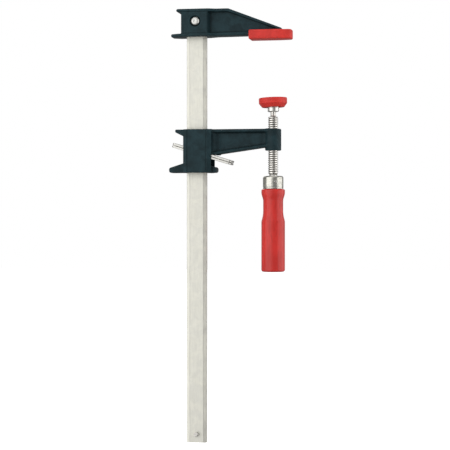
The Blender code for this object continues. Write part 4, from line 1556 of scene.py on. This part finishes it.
@dataclass
class HandScrew(SubAssembly):
    """The ball stud, the threaded spindle, the ferrule with its cross pin, and the grip."""

    ball_radius: float = 3.8
    neck_radius: float = 2.5
    neck_end: float = -8.6
    crest: float = 4.75
    root: float = 3.6
    pitch: float = 2.0
    flank: float = 3.6
    run_in: float = 0.35
    thread_end: float = -64.0
    tang: float = 4.0
    tang_end: float = -116.0
    ferrule_top: float = -64.7
    ferrule_bottom: float = -76.9
    ferrule_radius: float = 9.65
    pin_z: float = -70.0
    pin_radius: float = 1.2
    pin_half: float = 10.0
    pin_rim: float = 0.35
    pin_turn: float = 22.0
    grip_end: float = -154.9
    grip: float = 11.1
    waist: float = 9.4
    waist_top: float = -88.5
    waist_bottom: float = -97.5
    waist_run: float = 10.0
    sharp: float = 50.0

    def put(self, points: Array) -> Array:
        """Move points from the ball's centre to the row frame, in metres."""
        return (points + (0.0, 0.0, BALL_Z)) * MM

    def build_ball(self) -> None:
        """Turn the stud: a neck that flares at its foot, then the ball's arc up to the pole."""
        start = math.asin(self.neck_radius / self.ball_radius)
        angle = np.linspace(math.pi - start, 0.0, 22)
        ball = self.ball_radius * np.stack([np.sin(angle), np.cos(angle)], axis=-1)
        level = np.linspace(self.neck_end, ball[0, 1], 9)[:-1]
        flare = 0.5 * np.clip(1 - (level - self.neck_end) / 1.2, 0.0, 1.0) ** 2
        neck = np.stack([self.neck_radius + flare, level], axis=-1)
        profile = np.concatenate([[(0.0, self.neck_end)], neck, ball])
        stud = turned_piece("ball_stud", profile, 48, self.put, 60.0, even=False)
        self.fit(stud, SCREW_STEEL, Body.BALL, "screw_steel", "spindle_ball")

    def thread(self, top: float, bottom: float) -> bpy.types.Object:
        """Wind the thread on a grid sheared along the helix.

        At angle t and row n the height is (n / steps + t / turn) * pitch, held between both ends.
        The radius is root + (crest - root) * tooth(n), faded out at both ends, where tooth is a
        trapezoid.

        Args:
            top: Height of the thread's upper end.
            bottom: Height of its lower end.

        Returns:
            The new object.
        """
        steps, segments = 10, 64
        height = top - bottom
        rows = int(height / self.pitch + 2) * steps
        n = np.arange(rows)[:, None]
        t = np.linspace(0.0, 1.0, segments + 1)[None, :]
        level = np.clip((n / steps - 1 + t) * self.pitch, 0.0, height)
        phase = (n % steps) / steps
        tooth = np.clip(self.flank / 2 - self.flank * np.abs(phase - 0.5), 0.0, 1.0)
        fade = np.clip(np.minimum((height - level) / self.run_in, level / self.pitch), 0.0, 1.0)
        radius = self.root + (self.crest - self.root) * tooth * fade
        angle = t * math.tau
        points = np.stack(
            np.broadcast_arrays(radius * np.cos(angle), radius * np.sin(angle), bottom + level),
            axis=-1,
        ).reshape(-1, 3)
        faces = grid_faces(rows, segments + 1)
        return make_object("screw_thread", self.put(points), faces, self.sharp, even=False)

    def mark_hollows(self, mesh: bpy.types.Mesh, bottom: float) -> None:
        """Store how deep each point lies between crest and root; 0 on the tang.

        Args:
            mesh: The screw's mesh.
            bottom: Height of the thread's lower end.
        """
        spots = np.empty(len(mesh.vertices) * 3, np.float32)
        mesh.vertices.foreach_get("co", spots)
        out = np.hypot(spots[0::3], spots[1::3]) / MM
        hollow = np.clip((self.crest - out) / (self.crest - self.root), 0.0, 1.0)
        store(mesh, "hollow", np.where(spots[2::3] / MM - BALL_Z > bottom + 0.3, hollow, 0.0))

    def build_screw(self) -> None:
        """Wind the thread and join the plain tang to it, below."""
        bottom = self.thread_end
        screw = self.thread(self.neck_end - 0.3, bottom)
        profile = rounded([
            (0.0, bottom + 1.0, 0.0), (0.0, self.tang_end, 0.0), (self.tang, self.tang_end, 0.6),
            (self.tang, bottom - 0.4, 0.2), (self.root - 0.3, bottom + 1.0, 0.2),
        ], 3)[1:]
        shank = turned_piece("tang", profile, 48, self.put)
        shape = bmesh.new()
        shape.from_mesh(screw.data)
        shape.from_mesh(shank.data)
        shape.to_mesh(screw.data)
        shape.free()
        bpy.data.objects.remove(shank)
        screw.data.set_sharp_from_angle(angle=math.radians(self.sharp))
        self.mark_hollows(screw.data, bottom)
        self.fit(screw, THREAD_STEEL, Body.SPINDLE, "screw_steel", "spindle")

    def build_ferrule(self) -> None:
        """Turn the ferrule: rounded shoulder, faint bead at the open edge, hollow inside."""
        bore, inside = self.tang + 0.3, 8.4
        top, bottom, radius = self.ferrule_top, self.ferrule_bottom, self.ferrule_radius
        profile = rounded([
            (bore, top, 0.25), (radius, top, 1.9), (radius, bottom + 2.0, 0.4),
            (radius - 0.18, bottom + 1.6, 0.3), (radius, bottom + 1.2, 0.4), (radius, bottom, 0.35),
            (inside, bottom, 0.2), (inside, top - 2.2, 0.4), (bore, top - 2.2, 0.2),
        ], 6)
        ferrule = turned_piece("steel_ferrule", profile, 96, self.put, self.sharp, closed=True)
        self.fit(ferrule, FERRULE_STEEL, Body.SPINDLE, "ferrule_steel", "ferrule")

    def build_pin(self) -> None:
        """Turn the cross pin, lay it across and turn it to its direction."""
        spin = math.radians(self.pin_turn)

        def lay(points: Array) -> Array:
            """Lay the pin along Y, turn it about Z and lift it to its place.

            Args:
                points: Points of the upright pin, in millimetres.

            Returns:
                Points in the row frame, in metres.
            """
            x, y, z = across(points).T
            turned_x = x * math.cos(spin) - y * math.sin(spin)
            turned_y = x * math.sin(spin) + y * math.cos(spin)
            return self.put(np.stack([turned_x, turned_y, z + self.pin_z], axis=-1))

        profile = pin_profile(self.pin_radius, self.pin_half, self.pin_rim, 4)
        pin = turned_piece("ferrule_cross_pin", profile, 28, lay)
        self.fit(pin, PIN_STEEL, Body.SPINDLE, "pin_steel", "ferrule_pin")

    def grip_profile(self) -> Array:
        """Profile of the grip: tenon, bead, eased waist, barrel and rounded end.

        Returns:
            (n, 2) radii and heights from the top down.
        """
        tenon, shoulder = 8.1, self.ferrule_bottom - 0.3
        swell = self.grip - self.waist
        share = np.linspace(0.0, 1.0, 13)[1:]
        ease = (1 - np.cos(math.pi * share)) / 2
        bead = rounded([
            (0.0, shoulder, 0.0), (self.grip, shoulder, 1.1), (self.grip, shoulder - 40.0, 0.0),
        ], 6)[1:-1]
        start = shoulder - 2.9
        down = np.stack([self.grip - swell * ease, start + (self.waist_top - start) * share], axis=-1)
        flare = 1 - np.cos(math.pi / 2 * share)
        up = np.stack([self.waist + swell * flare, self.waist_bottom - self.waist_run * share], axis=-1)
        end = rounded([
            (self.grip, self.grip_end + 30.0, 0.0), (self.grip, self.grip_end, 1.9),
            (0.0, self.grip_end, 0.0),
        ], 8)[1:]
        roof = self.ferrule_top - 2.5
        return np.concatenate([
            [(0.0, roof), (tenon, roof), (tenon, shoulder)], bead, [(self.grip, start)], down,
            [(self.waist, self.waist_bottom)], up, end,
        ])

    def build_grip(self) -> None:
        """Turn the grip."""
        grip = turned_piece("turned_grip", self.grip_profile(), 96, self.put, self.sharp)
        self.fit(grip, HANDLE_LACQUER, Body.SPINDLE, "handle_lacquer", "handle")

    def build(self) -> None:
        """Build stud, screw, ferrule, pin and grip."""
        self.build_ball()
        self.build_screw()
        self.build_ferrule()
        self.build_pin()
        self.build_grip()


@dataclass
class SwivelFoot(SubAssembly):
    """The steel foot closed round the ball, and the soft cap snapped over its flange."""

    tilt: float = 2.0
    socket: float = 4.1
    mouth: float = 3.3
    cup: float = 5.4
    cup_bottom: float = -4.4
    flange: float = 9.2
    flange_top: float = 5.2
    flange_bottom: float = 2.2
    cap: float = 13.3
    cap_top: float = 8.8
    rim_bottom: float = 3.6
    skirt: float = 10.4
    cap_bottom: float = -0.1
    lip: float = 8.6
    clear: float = 0.4
    notch: float = 2.2
    notch_depth: float = 1.7

    def put(self, points: Array) -> Array:
        """Tilt points about the ball's centre and move them to the row frame, in metres."""
        return (tilted(points, -math.radians(self.tilt)) + (0.0, 0.0, BALL_Z)) * MM

    def build_foot(self) -> None:
        """Turn the foot: ball socket, rolled mouth, cup, fillet and flange."""
        angle = np.linspace(math.pi / 2, -math.acos(self.mouth / self.socket), 16)
        socket = self.socket * np.stack([np.cos(angle), np.sin(angle)], axis=-1)
        socket[0, 0] = 0.0
        outside = rounded([
            (0.0, self.flange_top, 0.0), (3.9, self.cup_bottom, 0.3),
            (self.cup, self.cup_bottom, 1.15), (self.cup, self.flange_bottom, 0.9),
            (self.flange, self.flange_bottom, 0.4), (self.flange, self.flange_top, 0.5),
        ], 6)[1:]
        profile = np.concatenate([socket, outside, [(0.0, self.flange_top)]])
        foot = turned_piece("foot_cup", profile, 72, self.put, 50.0)
        self.fit(foot, FOOT_STEEL, Body.FOOT, "foot_steel", "swivel_foot")

    def build_cap(self) -> None:
        """Turn the cap; its lower rows rise in the two notches.

        A row's height becomes h + depth * window(y) * low(h), where window is 1 where |y| is
        under half the notch's width and low is 1 at the skirt's lower edge.
        """
        low, high = self.flange_bottom - self.clear, self.flange_top + 0.3
        hollow = self.flange + self.clear
        profile = rounded([
            (0.0, self.cap_top, 0.0), (self.cap, self.cap_top, 0.8), (self.cap, self.rim_bottom, 0.8),
            (self.skirt, self.cap_bottom, 0.5), (self.lip, self.cap_bottom, 0.4),
            (self.lip, low, 0.2), (hollow, low, 0.2), (hollow, high, 0.2), (0.0, high, 0.0),
        ], 6)

        def notched(points: Array) -> Array:
            """Raise the points in the notches, then put all in their place.

            Args:
                points: Points of the plain cap, in millimetres.

            Returns:
                Points in the row frame, in metres.
            """
            x, y, z = points.T
            edge = np.clip((self.notch / 2 + 0.25 - np.abs(y)) / 0.5, 0.0, 1.0)
            edge = edge * edge * (3 - 2 * edge)
            outer = x**2 + y**2 > (self.lip - 0.3) ** 2
            share = np.clip((self.cap_bottom + self.notch_depth - z) / self.notch_depth, 0.0, 1.0)
            raised = z + edge * share * outer * self.notch_depth
            return self.put(np.stack([x, y, raised], axis=-1))

        cap = turned_piece("foot_cap", profile, 160, notched, 45.0)
        self.fit(cap, CAP_PLASTIC, Body.FOOT, "cap_plastic", "pad_cap")

    def build(self) -> None:
        """Build the foot and its cap."""
        self.build_foot()
        self.build_cap()


# --------------------------------------------------------------------------------------
# Studio
# --------------------------------------------------------------------------------------


def direction(azimuth: float, elevation: float) -> Vector:
    """Unit vector at an angle to the right of the front and an angle up, in degrees.

    Args:
        azimuth: Angle to the right of the front, in degrees.
        elevation: Angle up from level, in degrees.

    Returns:
        The vector.
    """
    turn, rise = math.radians(azimuth), math.radians(elevation)
    level = math.cos(rise)
    return Vector((math.sin(turn) * level, -math.cos(turn) * level, math.sin(rise)))


def aimed(name: str, data: bpy.types.ID, location: Vector, back: Vector) -> bpy.types.Object:
    """Place a lamp or a camera.

    Args:
        name: Name of the object.
        data: The light or the camera.
        location: Its place.
        back: The direction that its back faces.

    Returns:
        The new object.
    """
    item = placed(name, data)
    item.location = location
    item.rotation_mode = "QUATERNION"
    item.rotation_quaternion = back.to_track_quat("Z", "Y")
    return item


@dataclass(frozen=True)
class SoftBox:
    """A rectangular light that faces the clamp from a direction."""

    name: str
    azimuth: float
    elevation: float
    distance: float
    width: float
    height: float
    radiance: float

    def build(self, target: Vector) -> None:
        """Place the light; its power is pi * area * radiance.

        Args:
            target: The point that it faces.
        """
        data = bpy.data.lights.new(self.name, "AREA")
        data.shape = "RECTANGLE"
        data.size, data.size_y = self.width, self.height
        data.energy = math.pi * self.width * self.height * self.radiance
        away = direction(self.azimuth, self.elevation)
        lamp = aimed(self.name, data, target + away * self.distance, away)
        lamp.visible_camera = False


@dataclass
class Studio:
    """The camera, the lights and the pale floor."""

    camera_azimuth: float = 10.0
    camera_distance: float = 1.4
    lens: float = 118.36
    aim: tuple[float, float, float] = (-0.0461, 0.0, -0.1747)
    stand: tuple[float, float, float] = (-0.0365, 0.0, -0.1657)
    floor_size: float = 14.0
    floor_points: int = 9
    floor_gap: float = 0.5
    ambient: float = 0.31
    boxes: tuple[SoftBox, ...] = (
        SoftBox("left_box", -42.0, 4.0, 1.30, 1.5, 1.9, 1.48),
        SoftBox("right_box", 92.0, 4.0, 1.30, 1.9, 1.9, 1.40),
        SoftBox("near_fill", -4.0, 4.0, 1.60, 0.5, 1.9, 0.65),
        SoftBox("top_box", 10.0, 72.0, 1.50, 1.6, 1.2, 0.72),
        SoftBox("front_fill", 4.0, 38.0, 1.90, 1.0, 0.5, 0.9),
        SoftBox("back_fill", 206.0, 24.0, 1.80, 1.3, 1.3, 0.8),
    )

    def build_camera(self) -> None:
        """Put the camera at its azimuth and distance, level with its stand, and aim it."""
        data = bpy.data.cameras.new("camera")
        data.lens = self.lens
        data.sensor_width = 36.0
        data.clip_start, data.clip_end = 0.05, 60.0
        place = Vector(self.stand) + direction(self.camera_azimuth, 0.0) * self.camera_distance
        bpy.context.scene.camera = aimed("camera", data, place, place - Vector(self.aim))

    def lowest_reach(self) -> float:
        """Lowest height that the bar or the grip reaches, with every slide at its lower limit.

        Returns:
            The height in metres.
        """
        joints = frame["record"]["behaviour"]["joints"]
        drop = sum(joint["range_m"][0] for joint in joints if joint["type"] == "slide")
        return min(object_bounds()[0].z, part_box("handle")[0].z + drop)

    def build_floor(self, level: float) -> None:
        """Lay the floor.

        Args:
            level: Height of the floor.
        """
        half, count = self.floor_size / 2, self.floor_points
        steps = np.linspace(-half, half, count)
        x, y = np.meshgrid(steps, steps, indexing="ij")
        points = np.stack([x, y, np.full_like(x, level)], axis=-1).reshape(-1, 3)
        mesh = bpy.data.meshes.new("floor")
        mesh.from_pydata(points.tolist(), [], grid_faces(count, count)[:, ::-1].tolist())
        mesh.materials.append(SWEEP.material())
        floor = placed("floor", mesh)
        floor.visible_glossy = False
        floor.visible_diffuse = False
        floor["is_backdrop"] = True

    def build_world(self) -> None:
        """White behind the clamp, and a dim even grey for what the light bounces off."""
        world = bpy.data.worlds.new("studio_air")
        bpy.context.scene.world = world
        world.use_nodes = True
        tree = world.node_tree
        tree.nodes.clear()
        output = tree.nodes.new("ShaderNodeOutputWorld")
        mix = tree.nodes.new("ShaderNodeMixShader")
        path = tree.nodes.new("ShaderNodeLightPath")
        tree.links.new(path.outputs["Is Camera Ray"], mix.inputs["Fac"])
        for number, strength in ((1, self.ambient), (2, 1.0)):
            air = tree.nodes.new("ShaderNodeBackground")
            air.inputs["Color"].default_value = (1.0, 1.0, 1.0, 1.0)
            air.inputs["Strength"].default_value = strength
            tree.links.new(air.outputs[0], mix.inputs[number])
        tree.links.new(mix.outputs[0], output.inputs["Surface"])

    def build(self) -> None:
        """Set the stage round the clamp."""
        low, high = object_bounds()
        self.build_camera()
        for box in self.boxes:
            box.build((low + high) / 2)
        self.build_floor(self.lowest_reach() - self.floor_gap * MM)
        self.build_world()
        bpy.context.scene.view_settings.view_transform = "Standard"


def main() -> None:
    """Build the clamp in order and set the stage."""
    logging.basicConfig(level=logging.INFO, format="%(message)s")
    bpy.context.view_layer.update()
    assemblies: list[SubAssembly] = [
        Rail(), FixedJaw(), SlidingJaw(), Clutch(), HandScrew(), SwivelFoot(),
    ]
    for assembly in assemblies:
        assembly.build()
        assembly.report()
    Studio().build()


if __name__ == "__main__":
    main()
